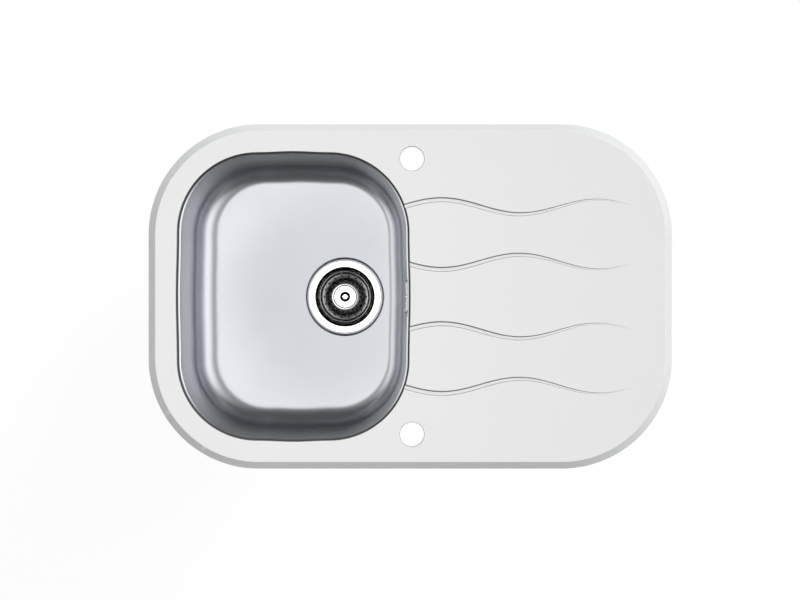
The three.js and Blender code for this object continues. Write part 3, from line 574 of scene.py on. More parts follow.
looks = {
    "white_glass": whiteGlass(),
    "satin_steel": satinSteel(),
    "polished_steel": brightSteel("polishedSteel", 0.86, 0.06),
    "basket_steel": brightSteel("basketSteel", 0.62, 0.14, 0.1),
    "zinc_steel": zincSteel(),
    "brass": turnedBrass(),
    "black_plastic": dullBlack("blackPlastic", 0.022, 0.034, 0.32, 1800, 0.1),
    "gasket_rubber": dullBlack("gasketRubber", 0.014, 0.022, 0.6, 900, 0.15),
    "pad_rubber": dullBlack("padRubber", 0.035, 0.055, 0.7, 500, 0.5),
    "foam": dullBlack("sealFoam", 0.04, 0.07, 0.8, 1200, 0.6),
    "adhesive": dullBlack("curedAdhesive", 0.07, 0.1, 0.4, 300, 0.3),
}
slots = {part["node"]: part["material_slot"] for part in frame["record"]["subparts"]}
for name, node in frame["nodes"].items():
    node.data.materials.clear()
    node.data.materials.append(looks[slots[name]])


def dressed(piece, slot, node, body="sink", angle=35):  # finishes it, rides it and hides its node
    placed(piece)
    bpy.ops.object.shade_smooth_by_angle(angle=math.radians(angle))
    applied(piece, "WEIGHTED_NORMAL", keep_sharp=True)  # flats stay flat beside their rounded edges
    piece.data.materials.clear()
    piece.data.materials.append(looks[slot])
    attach(piece, body)
    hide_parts(node)
    return piece


# outlines of the bowl's opening and of the panel


def openingFace(name, z, grow=0):  # the bowl's outline as one face, grown by a margin
    halfX = opening["length"] / 2 - opening["bow"] + grow
    halfY = opening["width"] / 2 - opening["bow"] + grow
    centre = (openingX, middle.y, z)
    piece = faceStart(name, centre, (2 * halfX, 2 * halfY))
    radius = opening["radius"] + grow
    bpy.ops.mesh.bevel(offset=radius, segments=opening["arcSteps"], affect="VERTICES")
    pick("edges", lambda edge: edge.calc_length() > 50 * mm)  # the four straight sides
    bpy.ops.mesh.subdivide(number_cuts=opening["sideCuts"])
    for axis, half, reach in ((0, halfX, halfY), (1, halfY, halfX)):
        straight = reach - radius
        rows = opening["sideCuts"] // 2 + 1
        for row in range(rows):
            along = straight * row / rows
            pick("verts", lambda v: abs(abs(v.co[axis] - centre[axis]) - half) < near
                 and abs(abs(v.co[1 - axis] - centre[1 - axis]) - along) < near)
            swell = 1 + opening["bow"] * (0.5 + 0.5 * math.cos(math.pi * along / straight)) / half
            resized((swell, 1, 1) if axis == 0 else (1, swell, 1), centre)
    toObject()
    return piece


panel = {
    "radius": 160 * mm,
    "bevelWidth": 10 * mm,
    "bevelDrop": 2.5 * mm,
    "arris": 0.8 * mm,
    "arcSteps": 40,
    "tapHole": 35 * mm,
    "tapX": 2.5 * mm,
    "tapY": 200 * mm,
    "tapArris": 0.7 * mm,
}


def panelFace(name, z, inset=0):  # the panel's outline as one face
    size = panelHigh - panelLow
    piece = faceStart(name, (middle.x, middle.y, z), (size.x - 2 * inset, size.y - 2 * inset))
    bpy.ops.mesh.bevel(offset=panel["radius"] - inset, segments=panel["arcSteps"], affect="VERTICES")
    toObject()
    return piece


def raised(piece, height):  # extrudes a flat face upwards into a closed block
    active(piece)
    toEdit()
    drawOn((0, 0, height))
    return facedOut(piece)


groove = {
    "lines": (50 * mm, 130 * mm),  # from the middle of the panel
    "swing": 10.6 * mm,
    "halfWave": 113.4 * mm,
    "firstCrest": 45.6 * mm,
    "start": -29 * mm,  # from the opening's edge
    "end": 324 * mm,
    "taper": 2.2,
    "width": 7.6 * mm,
    "floor": 4.6 * mm,
    "shift": 0.45 * mm,  # of the floor to the front, so the rear side slopes more gently
    "depth": 0.6 * mm,
    "steps": 72,
}


def grooveCutter(line, side):  # a trapezium carried along the wave, narrowing to nothing
    start, end = openingRight + groove["start"], groove["end"]
    half, floor, deep = groove["width"] / 2, groove["floor"] / 2, groove["depth"]
    places = []
    for i in range(groove["steps"] + 1):
        x = start + (end - start) * i / groove["steps"]
        phase = math.pi * (x - groove["firstCrest"]) / groove["halfWave"]
        y = middle.y + line + side * groove["swing"] * math.cos(phase)
        slope = -side * groove["swing"] * math.pi * math.sin(phase) / groove["halfWave"]
        run = max((x - openingRight) / (end - openingRight), 0)
        size = max(1 - run ** groove["taper"], 0.02)
        places.append((Vector((x, y, glassTop)), math.atan(slope), size))
    base = places[0][0]
    piece = faceStart("groove", base, (1, 1), (math.pi / 2, 0, math.pi / 2))
    rise = 1 * mm  # of the cutter over the glass
    topHalf = half + (half - floor) * rise / deep
    pick("verts", lambda v: v.co.z < glassTop)
    resized((1, floor * 2, deep / 0.5), base)
    bpy.ops.transform.translate(value=(0, -groove["shift"], 0))
    pick("verts", lambda v: v.co.z > glassTop)
    resized((1, topHalf * 2, rise / 0.5), base)
    bpy.ops.transform.translate(value=(0, groove["shift"] * rise / deep, 0))
    bpy.ops.mesh.select_all(action="SELECT")
    for (old, oldTurn, oldSize), (new, turn, size) in zip(places, places[1:]):
        drawOn(new - old)
        bpy.ops.transform.rotate(value=oldTurn - turn, orient_axis="Z", center_override=new)
        resized((size / oldSize,) * 3, new)
    return facedOut(piece)


def makePanel():
    past = 5 * mm  # of the cutter, and of the search for the opening's edge
    piece = panelFace("glassPanel", glassBottom)
    raised(piece, glassTop - glassBottom - panel["bevelDrop"])
    toEdit()
    pick("faces", lambda face: face.normal.z > 0.9)
    bpy.ops.mesh.inset(thickness=panel["bevelWidth"], depth=panel["bevelDrop"])
    bevelled(under(glassBottom), panel["arris"], 2)
    toObject()
    minus(piece, raised(openingFace("openingCutter", glassBottom - past), 4 * past))
    toEdit()
    reachX = opening["length"] / 2 + past
    reachY = opening["width"] / 2 + past
    bevelled(lambda edge: over(glassTop)(edge) and abs(middleOf(edge).x - openingX) < reachX
             and abs(middleOf(edge).y - middle.y) < reachY, opening["arris"], 2)
    toObject()
    for side in (-1, 1):
        radius = panel["tapHole"] / 2 / mm
        edge = panel["tapArris"] / mm
        deep = (glassTop - glassBottom) / mm
        centre = (panel["tapX"], middle.y + side * panel["tapY"], glassTop)
        profile = [(0, -deep - 2), (radius, -deep - 2), (radius, -edge),
                   (radius + edge * 0.3, -edge * 0.3), (radius + edge, 0),
                   (radius + 2 * edge, edge), (0, edge)]
        minus(piece, turned("drill", profile, centre))
        for line, flip in zip(groove["lines"], (-1, 1)):
            minus(piece, grooveCutter(side * line, side * flip))
    return dressed(piece, "white_glass", "glass_panel", angle=10)


def makeRimSeal():  # a foam strip laid under the panel's edge
    inset, width, thick = 2 * mm, 7 * mm, 1.5 * mm
    piece = raised(panelFace("rimSeal", glassBottom - thick, inset), thick)
    inner = raised(panelFace("inner", glassBottom - 2 * thick, inset + width), 4 * thick)
    minus(piece, inner)
    toEdit()
    bevelled(under(glassBottom - thick), 0.7 * mm, 3)
    toObject()
    return dressed(piece, "foam", "rim_seal")


# the pressed bowl

bowl = {
    "sheet": 1 * mm,
    "flange": 15 * mm,
    "reveal": 1 * mm,
    "rimRadius": 4.5 * mm,
    "draft": 3.2,
    "lowerFrom": -30 * mm,  # below here the walls are steeper
    "lowerDraft": 1.42,
    "bottomRadius": 28 * mm,
    "lean": (5.7 * mm, 2.3 * mm),  # of the floor to the drainer and the rear, taken up in its radius
    "depth": 180 * mm,
    "rimSteps": 8,
    "filletSteps": 18,
    # from the floor down to the waste seat: [radius, drop from the floor] in millimetres
    "seat": ((61.2, 0.06), (60.5, 0.25), (60, 0.8), (59.5, 1.6), (59, 2.4), (58.2, 3.1), (57.2, 3.3),
             (48, 3.3)),
}
draft = math.radians(bowl["draft"])


def bowlSection():  # [inset, z] from the rim to the flat floor
    points = []
    for i in range(bowl["rimSteps"] + 1):
        angle = math.pi / 2 + (draft - math.pi / 2) * i / bowl["rimSteps"]
        points.append((bowl["reveal"] + bowl["rimRadius"] * math.cos(angle),
                       flangeTop - bowl["rimRadius"] * (1 - math.sin(angle))))
    inset, top = points[-1]
    inset, top = inset + (top - bowl["lowerFrom"]) * math.tan(draft), bowl["lowerFrom"]
    points.append((inset, top))
    lower = math.radians(bowl["lowerDraft"])
    radius = bowl["bottomRadius"]
    centreZ = flangeTop - bowl["depth"] + radius
    foot = centreZ - radius * math.sin(lower)
    centreInset = inset + (top - foot) * math.tan(lower) + radius * math.cos(lower)
    for i in range(bowl["filletSteps"] + 1):
        angle = lower + (math.pi / 2 - lower) * i / bowl["filletSteps"]
        points.append((centreInset - radius * math.cos(angle), centreZ - radius * math.sin(angle)))
    return points


def wallInset(z):
    inset, top = bowlSection()[bowl["rimSteps"]]
    return inset + (top - z) * math.tan(draft)


overflow = {
    "depth": 15.5 * mm,  # from the flange down to its middle
    "hole": (38 * mm, 12 * mm),
    "pocketWidth": 49 * mm,
    "pocketDepth": 1.5 * mm,
    "pocketCorner": 5 * mm,
    "margin": 1 * mm,  # of the pocket round its cover
    "cover": (47 * mm, 19 * mm),
    "coverCorner": 4.5 * mm,
    "slot": (15 * mm, 2.6 * mm),
    "slotPitch": 4.4 * mm,
    "slotOffset": 11.5 * mm,
}
overflowZ = flangeTop - overflow["depth"]
pocketFloorX = openingRight - wallInset(overflowZ) + overflow["pocketDepth"] / math.cos(draft)
overflowSpot = Vector((pocketFloorX, middle.y, overflowZ))
overflowTurn = Matrix.Translation(overflowSpot) @ Matrix.Rotation(draft, 4, "Y")
acrossWall = Matrix.Rotation(math.pi / 2, 4, "Z") @ Matrix.Rotation(math.pi / 2, 4, "X")


def atOverflow(piece):  # a plate drawn flat on XY, turned to face the bowl from its pocket's floor
    piece.matrix_world = overflowTurn @ acrossWall @ piece.matrix_world
    return placed(piece)


def pocketBlock(grow, end):  # the pocket's room; grown by the sheet, its outside
    foot = overflow["cover"][1] / 2 + overflow["margin"] + grow
    head = overflow["depth"] + bowl["rimRadius"] + overflow["pocketCorner"]
    start = -overflow["pocketDepth"] - bowl["rimRadius"]
    size = (overflow["pocketWidth"] + 2 * grow, foot + head)
    return atOverflow(roundedPlate(size, overflow["pocketCorner"] + grow, start, end,
                                   (0, (head - foot) / 2), 6, "pocket"))


def bowlRoom(name):  # the space inside the rim and walls, down to the floor
    piece = openingFace(name, flangeTop, -bowl["reveal"])
    toEdit()
    before = bowlSection()[0]
    for inset, z in bowlSection()[1:]:
        bpy.ops.mesh.inset(thickness=inset - before[0], depth=z - before[1])
        before = (inset, z)
    pick("edges", lambda edge: edge.is_boundary)
    bpy.ops.mesh.edge_face_add()
    return facedOut(piece)


def makeBowl():
    piece = openingFace("bowlShell", flangeTop, bowl["flange"])
    toEdit()
    before = (-bowl["flange"], flangeTop)
    filletTop = bowl["rimSteps"] + 2
    for i, (inset, z) in enumerate(bowlSection()):
        bpy.ops.mesh.inset(thickness=inset - before[0], depth=z - before[1])
        if i > filletTop:
            share = (inset - before[0]) / bowl["bottomRadius"]
            bpy.ops.transform.translate(value=(share * bowl["lean"][0], share * bowl["lean"][1], 0))
        before = (inset, z)
    floorZ = before[1]
    bpy.ops.mesh.inset(thickness=2 * mm)  # the floor opens inside this ring, for the waste seat
    bpy.ops.mesh.delete(type="ONLY_FACE")
    count = 4 * (opening["arcSteps"] + opening["sideCuts"] + 1)
    radius, drop = bowl["seat"][0]
    radius *= mm
    level = floorZ - drop * mm
    bpy.ops.mesh.primitive_circle_add(vertices=count, radius=radius, location=(waste.x, waste.y, level))
    pick("edges", lambda edge: edge.is_wire or (edge.is_boundary and under(floorZ)(edge)))
    bpy.ops.mesh.bridge_edge_loops(number_cuts=6, interpolation="LINEAR")
    centre = Vector((waste.x, waste.y, level))
    pick("edges", lambda edge: edge.is_boundary and (middleOf(edge) - centre).length < radius + mm)
    for nextRadius, nextDrop in bowl["seat"][1:]:
        fall = floorZ - nextDrop * mm
        drawEdges((0, 0, fall - level))
        size = nextRadius * mm / radius
        resized((size, size, 1), (waste.x, waste.y, fall))
        radius, level = nextRadius * mm, fall
    bpy.ops.mesh.select_all(action="SELECT")
    bpy.ops.mesh.normals_make_consistent(inside=False)
    toObject()
    flange = min(piece.data.polygons, key=lambda face: abs(face.center.z - flangeTop))
    if flange.normal.z < 0:
        toEdit()
        bpy.ops.mesh.flip_normals()
        toObject()
    thickened(piece, bowl["sheet"])
    pocket = minus(pocketBlock(bowl["sheet"], bowl["sheet"]), bowlRoom("room"))
    above = flangeTop - bowl["sheet"]
    minus(pocket, block((openingX, panelLow.y, above), panelHigh + up * bowl["depth"]))
    plus(piece, pocket)
    minus(piece, pocketBlock(0, 0))
    width, height = overflow["hole"]
    hole = roundedPlate((width, height), height / 2 - near, -8 * mm, 8 * mm)
    minus(piece, atOverflow(hole))
    return dressed(piece, "satin_steel", "bowl", angle=50)


def makeBond():
    margin = 2 * mm
    piece = raised(openingFace("bowlBond", flangeTop, bowl["flange"] - margin), glassBottom - flangeTop)
    bead = -1.2 * mm - bowl["reveal"]  # it shows as a dark line round the bowl
    inner = raised(openingFace("inner", flangeTop - mm, bead), 4 * mm)
    return dressed(minus(piece, inner), "adhesive", "bowl_bond")


pad = {
    "radius": 18 * mm,
    "pitch": 15 * mm,
    "channel": 2 * mm,
    "deep": 0.8 * mm,
    "columns": 3,  # channels on each side of the middle one
    "rows": 7,
}


def makePad():  # the sound-deadening pad, pressed with a grid of shallow channels
    low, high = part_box("bowl_pad")
    centre = (low + high) / 2
    piece = roundedPlate((high - low).xy, pad["radius"], low.z, high.z, centre.xy, name="bowlPad")
    for axis, each in ((0, pad["columns"]), (1, pad["rows"])):
        for i in range(-each, each + 1):
            start = [low.x - mm, low.y - mm, low.z - mm]
            end = [high.x + mm, high.y + mm, low.z + pad["deep"]]
            along = centre[axis] + i * pad["pitch"]
            start[axis], end[axis] = along - pad["channel"] / 2, along + pad["channel"] / 2
            minus(piece, block(start, end))
    return dressed(piece, "pad_rubber", "bowl_pad")


# the strainer waste; heights are millimetres from the waste seat's face

strainer = {
    "face": [(55.3, 1.2), (55.8, 1.35), (56, 1.8), (56, 2.5), (55.85, 2.9), (55.5, 3.12), (55, 3.2),
             (51, 3.2), (46.6, 3.2), (46.1, 3.1), (45.75, 2.8), (45.6, 2.2), (45.4, 1.2), (44.9, 0.2),
             (44.4, -0.8), (43.4, -5), (42.1, -10.5), (41.5, -13), (41.5, -21.8)],
    "corner": ((37.3, -21.8), 4.2),
    "well": [(13.4, -26), (12.6, -26.3), (12.1, -27.4), (11.6, -29.2), (11.0, -29.8), (10.2, -30),
             (5.3, -30)],
    "sheet": 1,
    "slots": 9,
    "slotSize": (13 * mm, 4 * mm),
    "slotReach": 26.5 * mm,  # from the axis to a slot's middle
    "slotCut": (29 * mm, 24 * mm),  # depths between which the slots are cut
}


def makeStrainer():
    path = strainer["face"] + arc(*strainer["corner"], 0, -90, 6)[1:] + strainer["well"]
    piece = turned("strainerFlange", walled(path, strainer["sheet"]), waste, 128, closed=True)
    low, high = (waste.z - depth for depth in strainer["slotCut"])
    slot = roundedPlate(strainer["slotSize"], strainer["slotSize"][1] / 2 - near, low, high,
                        (waste.x + strainer["slotReach"], waste.y), 6)
    minus(piece, ringOf(slot, strainer["slots"], waste))
    return dressed(piece, "polished_steel", "strainer_flange", angle=40)


def makeGasket(name, node):  # a flat ring with a raised sealing bead
    low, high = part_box(node)
    outer = (high.x - low.x) / 2 / mm
    inner = outer - 6.5
    bottom, top = levels(node)
    edge = 0.25
    profile = [(outer - edge, bottom), (outer, bottom + edge), (outer, top - edge), (outer - edge, top),
               (outer - 1.6, top - edge), (outer - 3.2, top), (outer - 4.8, top - edge),
               (inner + edge, top), (inner, top - edge), (inner, bottom + edge),
               (inner + edge, bottom)]
    piece = turned(name, profile, waste, 96, closed=True)
    return dressed(piece, "gasket_rubber", node)


basket = {
    "sheet": 0.8,
    "holes": 18,
    "holeRadius": 1.5,
    "circles": (23.4, 27.9, 32.4),
    "rise": 7.2,  # of the perforated cone
    "wallSlots": 9,
    "slotSize": (5 * mm, 2.4 * mm),
    "slotDrop": 5,  # of a slot's middle below the rim
}
basketFoot, basketTop = levels("basket")
basketFloor = basketFoot + basket["sheet"]


def makeBasket():
    top, floor, rise = basketTop, basketFloor, basket["rise"]
    path = [(39.2, top - 0.5), (39.4, top - 0.15), (39.1, top), (38.6, top - 0.1), (38.1, top - 0.7),
            (37.8, top - 1.6), (36.9, floor + 9.6), (36.7, floor + 8.8), (36.2, floor + 8),
            (35.2, floor + rise), (20.4, floor + 0.35), (19.6, floor + 0.1), (18.8, floor),
            (10, floor), (3, floor)]
    piece = turned("basketPan", walled(path, basket["sheet"]), waste, 128, closed=True)
    low, high = waste.z + (floor - 2) * mm, waste.z + (floor + rise + 2) * mm
    for circle, start in zip(basket["circles"], (0, 10, 0)):
        spot = Vector((waste.x + circle * mm, waste.y, 0))
        drill = post(basket["holeRadius"] * mm, spot, low, high, 20)
        minus(piece, ringOf(drill, basket["holes"], waste, start))
    centre = waste.z + (top - basket["slotDrop"]) * mm
    slot = roundedPlate(basket["slotSize"], 1.1 * mm, 33 * mm, 42 * mm, steps=5)
    slot.matrix_world = (Matrix.Translation((waste.x, waste.y, centre))
                         @ Matrix.Rotation(math.pi / 2, 4, "Y") @ slot.matrix_world)
    minus(piece, ringOf(placed(slot), basket["wallSlots"], waste, 20))
    return dressed(piece, "basket_steel", "basket", "basket_set", angle=40)


def makeStopper():
    foot, top = levels("basket_stopper")
    path = [(3, top), (31.8, top), (32.3, top - 0.2), (33.7, foot + 1.2), (34, foot + 0.6),
            (33.7, foot + 0.1), (33.2, foot), (32.4, foot + 0.2), (30.5, foot + 0.8), (3, foot + 0.8)]
    piece = turned("stopperDisc", path, waste, 96, closed=True)
    return dressed(piece, "gasket_rubber", "basket_stopper", "basket_set")


knobTop = levels("basket_knob")[1]


def makeKnob():  # a pressed disc with a thin groove and a deep well on a flared neck
    top, floor = knobTop, basketFloor
    profile = [(3, floor), (8, floor), (7.6, floor + 1), (7.2, floor + 5), (7.6, top - 8.6),
               (9.4, top - 6.2), (13, top - 4.8), (17, top - 4.1), (19.6, top - 3.5), (20.7, top - 2.6),
               (21, top - 1.7), (20.8, top - 0.8), (20.2, top - 0.2), (19.6, top), (18.4, top),
               (17.5, top - 1.7), (16.6, top), (8, top), (7.4, top - 1), (7.3, top - 5), (4.9, top - 3),
               (3, top - 3)]
    piece = turned("pullKnob", profile, waste, 96, closed=True)
    dressed(piece, "polished_steel", "basket_knob", "basket_set", angle=40)
    piece.data.materials[0] = knobSteelPaintedShade()
    return piece


def aroundWaste(long, thick, low, high):  # a block across the waste's axis, from half its sizes
    return block(waste + Vector((-long, -thick, low)) * mm, waste + Vector((long, thick, high)) * mm)


def makeStem():
    tip, head = levels("basket_stem")
    seat = knobTop - 3
    profile = [(0, tip), (1.1, tip), (2.2, tip + 0.9), (2.7, tip + 2.4), (2.7, seat), (4.4, seat),
               (4.6, seat + 0.25), (4.6, seat + 0.9), (4.1, head - 0.5), (3.5, head), (0, head)]
    piece = turned("basketStem", profile, waste, 48)
    minus(piece, aroundWaste(5, 0.5, head - 0.9, head + 1))
    return dressed(piece, "polished_steel", "basket_stem", "basket_set")


def threaded(radius, root, low, high, pitch):  # profile points of a thread, ring by ring
    points = []
    count = max(int((high - low) / pitch), 1)
    step = (high - low) / count
    for i in range(count):
        foot = low + i * step
        points += [(root, foot), (root, foot + step * 0.15), (radius, foot + step * 0.45),
                   (radius, foot + step * 0.6), (root, foot + step * 0.9)]
    return points


def makeWasteScrew():
    tip, top = levels("waste_screw")
    under = top - 3.4
    profile = [(0, tip), (4, tip)] + threaded(5, 4.4, tip + 0.6, under - 4, 0.8)
    profile += [(5, under - 3.6), (5, under), (8.2, under), (8.5, under + 0.3), (8.5, top - 1.2),
                (8.1, top - 0.4), (7.4, top), (0, top)]
    piece = turned("wasteScrew", profile, waste, 48)
    minus(piece, post(3 * mm, waste, (tip + 12) * mm, (top + 2) * mm))
    minus(piece, aroundWaste(10, 1.2, top - 1.6, top + 2))
    return dressed(piece, "polished_steel", "waste_screw")


def makeWasteNut():
    foot, top = levels("waste_nut")
    piece = turned("wasteNut", [(0, foot), (9, foot), (9, top), (0, top)], waste, 6)
    bore = turned("bore", [(0, foot - 1), (5.2, foot - 1), (5.2, top + 1), (0, top + 1)], waste, 48)
    minus(piece, bore)
    trim = turned("trim", [(0, foot), (7.9, foot), (9.2, foot + 0.8), (9.2, top - 0.8), (7.9, top),
                           (0, top)], waste, 64)
    combined(piece, trim, "INTERSECT")
    return dressed(piece, "brass", "waste_nut", angle=30)


body = {
    "chamber": (46, 49),  # bore and outside radius
    "outlet": (19, 23.9),
    "funnel": (-34, -46),  # its inside heights
    "weld": -48,  # where the threaded outlet is welded on
    "inlet": -27,  # the overflow inlet's height
    "inletRadii": (13.2, 8.2, 10.3),  # outside, bore and socket
    "ribs": 8,
    "ribThickness": 2.4,
    "ribReach": (47, 54),
    "ribFoot": -14,
    "ribSlant": 5,
    "hub": (9, 5.3),  # radius and bore of the screw's boss, on two crossed arms
    "hubHeights": (-46, -31),
    "arm": (1.5, -35.5),  # half its thickness, and its top
}


def makeWasteBody():
    top = levels("waste_gasket")[0]
    bore, outer = body["chamber"]
    outletBore, outlet = body["outlet"]
    flangeFoot = top - 4
    funnelTop, funnelFoot = body["funnel"]
    outside = [(outletBore, body["weld"]), (outlet, body["weld"]), (outlet + 0.4, body["weld"] + 0.5),
               (outlet + 1, funnelFoot - 1.2), (outer - 1, funnelTop - 1.8),
               (outer, funnelTop - 0.4), (outer, flangeFoot - 1.5), (outer + 0.5, flangeFoot - 0.5),
               (outer + 1.5, flangeFoot), (55.5, flangeFoot), (56, flangeFoot + 0.5), (56, top - 0.5),
               (55.5, top)]
    inside = [(bore, top), (bore, funnelTop + 0.5), (bore - 0.5, funnelTop - 0.6),
              (outletBore + 0.5, funnelFoot + 0.3), (outletBore, funnelFoot - 0.6)]
    piece = turned("wasteBody", outside + inside, waste, 96, closed=True)
    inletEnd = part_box("waste_body")[1].x

    def inletRod(radius, start, end):
        level = waste.z + body["inlet"] * mm
        return rod(radius * mm, (waste.x + start * mm, waste.y, level), (end, waste.y, level), 64)

    inletRadius, inletBore, socket = body["inletRadii"]
    plus(piece, inletRod(inletRadius, bore - 2, inletEnd))
    minus(piece, inletRod(inletBore, 30, inletEnd + mm))
    minus(piece, inletRod(socket, outer, inletEnd + mm))
    half = body["ribThickness"] / 2 * mm
    start, end = body["ribReach"]
    rib = block((waste.x + start * mm, waste.y - half, waste.z + body["ribFoot"] * mm),
                (waste.x + end * mm, waste.y + half, waste.z + (flangeFoot + 1) * mm))
    toEdit()
    pick("verts", lambda v: v.co.z < waste.z + (body["ribFoot"] + 1) * mm
         and v.co.x > waste.x + (end - 1) * mm)
    bpy.ops.transform.translate(value=(-body["ribSlant"] * mm, 0, 0))
    toObject()
    plus(piece, ringOf(rib, body["ribs"], waste, 180 / body["ribs"]))
    hubFoot, hubTop = body["hubHeights"]
    hub, hubBore = body["hub"]
    half, armTop = body["arm"]
    arm = aroundWaste(bore + 0.4, half, hubFoot, armTop)
    cross = copied(arm, "cross", turnAbout(waste, 90))
    spider = plus(plus(arm, cross), post(hub * mm, waste, hubFoot * mm, hubTop * mm, 48))
    shape = turned("shape", [(0, hubFoot - 1), (outletBore + 1, hubFoot - 1),
                             (outletBore + 1, funnelFoot), (bore + 0.5, funnelTop - 0.6),
                             (bore + 0.5, hubTop + 1), (0, hubTop + 1)], waste, 48)
    combined(spider, shape, "INTERSECT")
    minus(spider, post(hubBore * mm, waste, (hubFoot - 2) * mm, (hubTop + 2) * mm))
    plus(piece, spider)
    return dressed(piece, "black_plastic", "waste_body", angle=40)


def makeWasteOutlet():  # the threaded tail, with a bead of weld at its top
    end, weld = levels("waste_outlet")[0], body["weld"]
    bore, outlet = body["outlet"]
    profile = [(bore, end + 0.5), (bore + 0.5, end), (outlet - 1.2, end), (outlet - 0.6, end + 0.5)]
    profile += threaded(outlet, outlet - 1.1, end + 1, end + 19, 2.3)
    profile += [(outlet - 0.6, end + 19.5), (outlet - 0.6, weld - 3), (outlet - 0.1, weld - 2.4),
                (outlet, weld - 1.2), (outlet, weld - 0.3), (outlet - 0.3, weld), (bore, weld)]
    piece = turned("wasteOutlet", profile, waste, 96, closed=True)
    return dressed(piece, "black_plastic", "waste_outlet", angle=40)


# the overflow; plates are drawn flat, with Z out through the bowl's wall


def makeCover():
    low, high = -overflow["pocketDepth"], -0.3 * mm
    piece = roundedPlate(overflow["cover"], overflow["coverCorner"], low, high, name="overflowCover")
    toEdit()
    bevelled(under(low), 1.1 * mm, 4)
    toObject()
    for side in (-1, 1):
        for row in (-1, 0, 1):
            centre = (side * overflow["slotOffset"], row * overflow["slotPitch"])
            minus(piece, roundedPlate(overflow["slot"], overflow["slot"][1] / 2 - near, low - mm,
                                      high + mm, centre, 6))
    minus(piece, post(2.8 * mm, origin, low - mm, high + mm))
    return dressed(atOverflow(piece), "polished_steel", "overflow_cover")


sealFrom, sealTo, postEnd = 1.3, 3.3, 18.9  # millimetres out from the pocket's floor


def makeCoverScrew():
    face, end = -overflow["pocketDepth"] / mm, postEnd - 2
    profile = [(0, face - 1.6), (2.6, face - 1.5), (3.9, face - 1.0), (4.5, face - 0.3), (4.5, face),
               (2.5, face), (2.5, face + 3)]
    profile += threaded(2.5, 2.1, face + 3, end - 0.6, 0.8) + [(1.8, end), (0, end)]
    piece = turned("coverScrew", profile, origin, 40)
    minus(piece, block((-5 * mm, -0.5 * mm, (face - 2) * mm), (5 * mm, 0.5 * mm, (face - 0.8) * mm)))
    return dressed(atOverflow(piece), "polished_steel", "overflow_screw")


def makeSeal():  # a moulded gasket with rounded edges
    width, height, land = 48 * mm, 20 * mm, 4 * mm
    low, high = sealFrom * mm, sealTo * mm
    piece = roundedPlate((width, height), 5 * mm, low, high, name="overflowSeal")
    toEdit()
    bevelled(lambda edge: under(low)(edge) or over(high)(edge), 0.5 * mm, 3)
    toObject()
    minus(piece, roundedPlate((width - 2 * land, height - 2 * land), 3 * mm, 0, 8 * mm))
    return dressed(atOverflow(piece), "gasket_rubber", "overflow_seal")


elbowLow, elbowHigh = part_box("overflow_elbow")
pipeLow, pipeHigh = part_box("overflow_pipe")
pipe = {
    "radius": 10 * mm,
    "wall": 1.8 * mm,
    "bend": 24 * mm,
    "spigot": 13.2,
}
pipeX = pipeHigh.x - pipe["radius"]
inletZ = pipeLow.z + pipe["radius"]


def makeElbow():
    foot = elbowHigh.z - 20 * mm
    wall, sideWall = 2.5 * mm, 5 * mm
    front = elbowLow.x - 10 * mm
    piece = block((front, elbowLow.y, foot), elbowHigh, "overflowElbow")
    toEdit()
    bevelled(lambda edge: max(v.co.x for v in edge.verts) > front + near, 3 * mm, 5)
    toObject()
    spigot = pipe["spigot"]
    top = (overflowZ - elbowLow.z) / mm
    collar = (foot - elbowLow.z) / mm
    profile = [(0, 0), (spigot - 0.9, 0), (spigot - 0.5, 0.4)]
    profile += threaded(spigot, spigot - 0.9, 1, collar - 2.5, 1.9)
    profile += [(spigot - 0.6, collar - 2), (spigot - 0.4, collar - 0.6), (spigot, collar + 0.5),
                (spigot, top), (0, top)]
    centre = Vector((pipeX, middle.y, elbowLow.z))
    plus(piece, turned("spigot", profile, centre, 72))
    minus(piece, block((front - mm, elbowLow.y + sideWall, foot + wall),
                       (elbowHigh.x - wall, elbowHigh.y - sideWall, elbowHigh.z - wall)))
    plus(piece, atOverflow(post(5 * mm, origin, 0, 27 * mm, 40)))  # the screw's post
    minus(piece, post(8.2 * mm, centre, -mm, top * mm, 48))
    minus(piece, post(10.3 * mm, centre, -mm, collar * mm, 48))
    reach = 60 * mm
    minus(piece, atOverflow(block((-reach, -reach, -reach), (reach, reach, sealTo * mm))))
    minus(piece, atOverflow(post(2.8 * mm, origin, 0, postEnd * mm)))
    return dressed(piece, "black_plastic", "overflow_elbow", angle=40)


def makePipe():  # straight down, round the bend and along to the waste body
    piece = circleStart("overflowPipe", (pipeX, middle.y, pipeHigh.z), pipe["radius"], 56)
    bendTop = inletZ + pipe["bend"]
    bendX = pipeX - pipe["bend"]
    drawEdges((0, 0, bendTop - pipeHigh.z))
    spun(18, -90, (bendX, middle.y, bendTop), (0, 1, 0))
    drawEdges((pipeLow.x - bendX, 0, 0))
    thickened(facedOut(piece), pipe["wall"])
    return dressed(piece, "black_plastic", "overflow_pipe", angle=40)


nut = {
    "thread": 13.5,
    "outer": 16.7,
    "skirt": -10,
    "end": 6.2,
    "ring": 3,  # the sealing ring's length
    "bore": 10.3,
    "grips": 6,
}


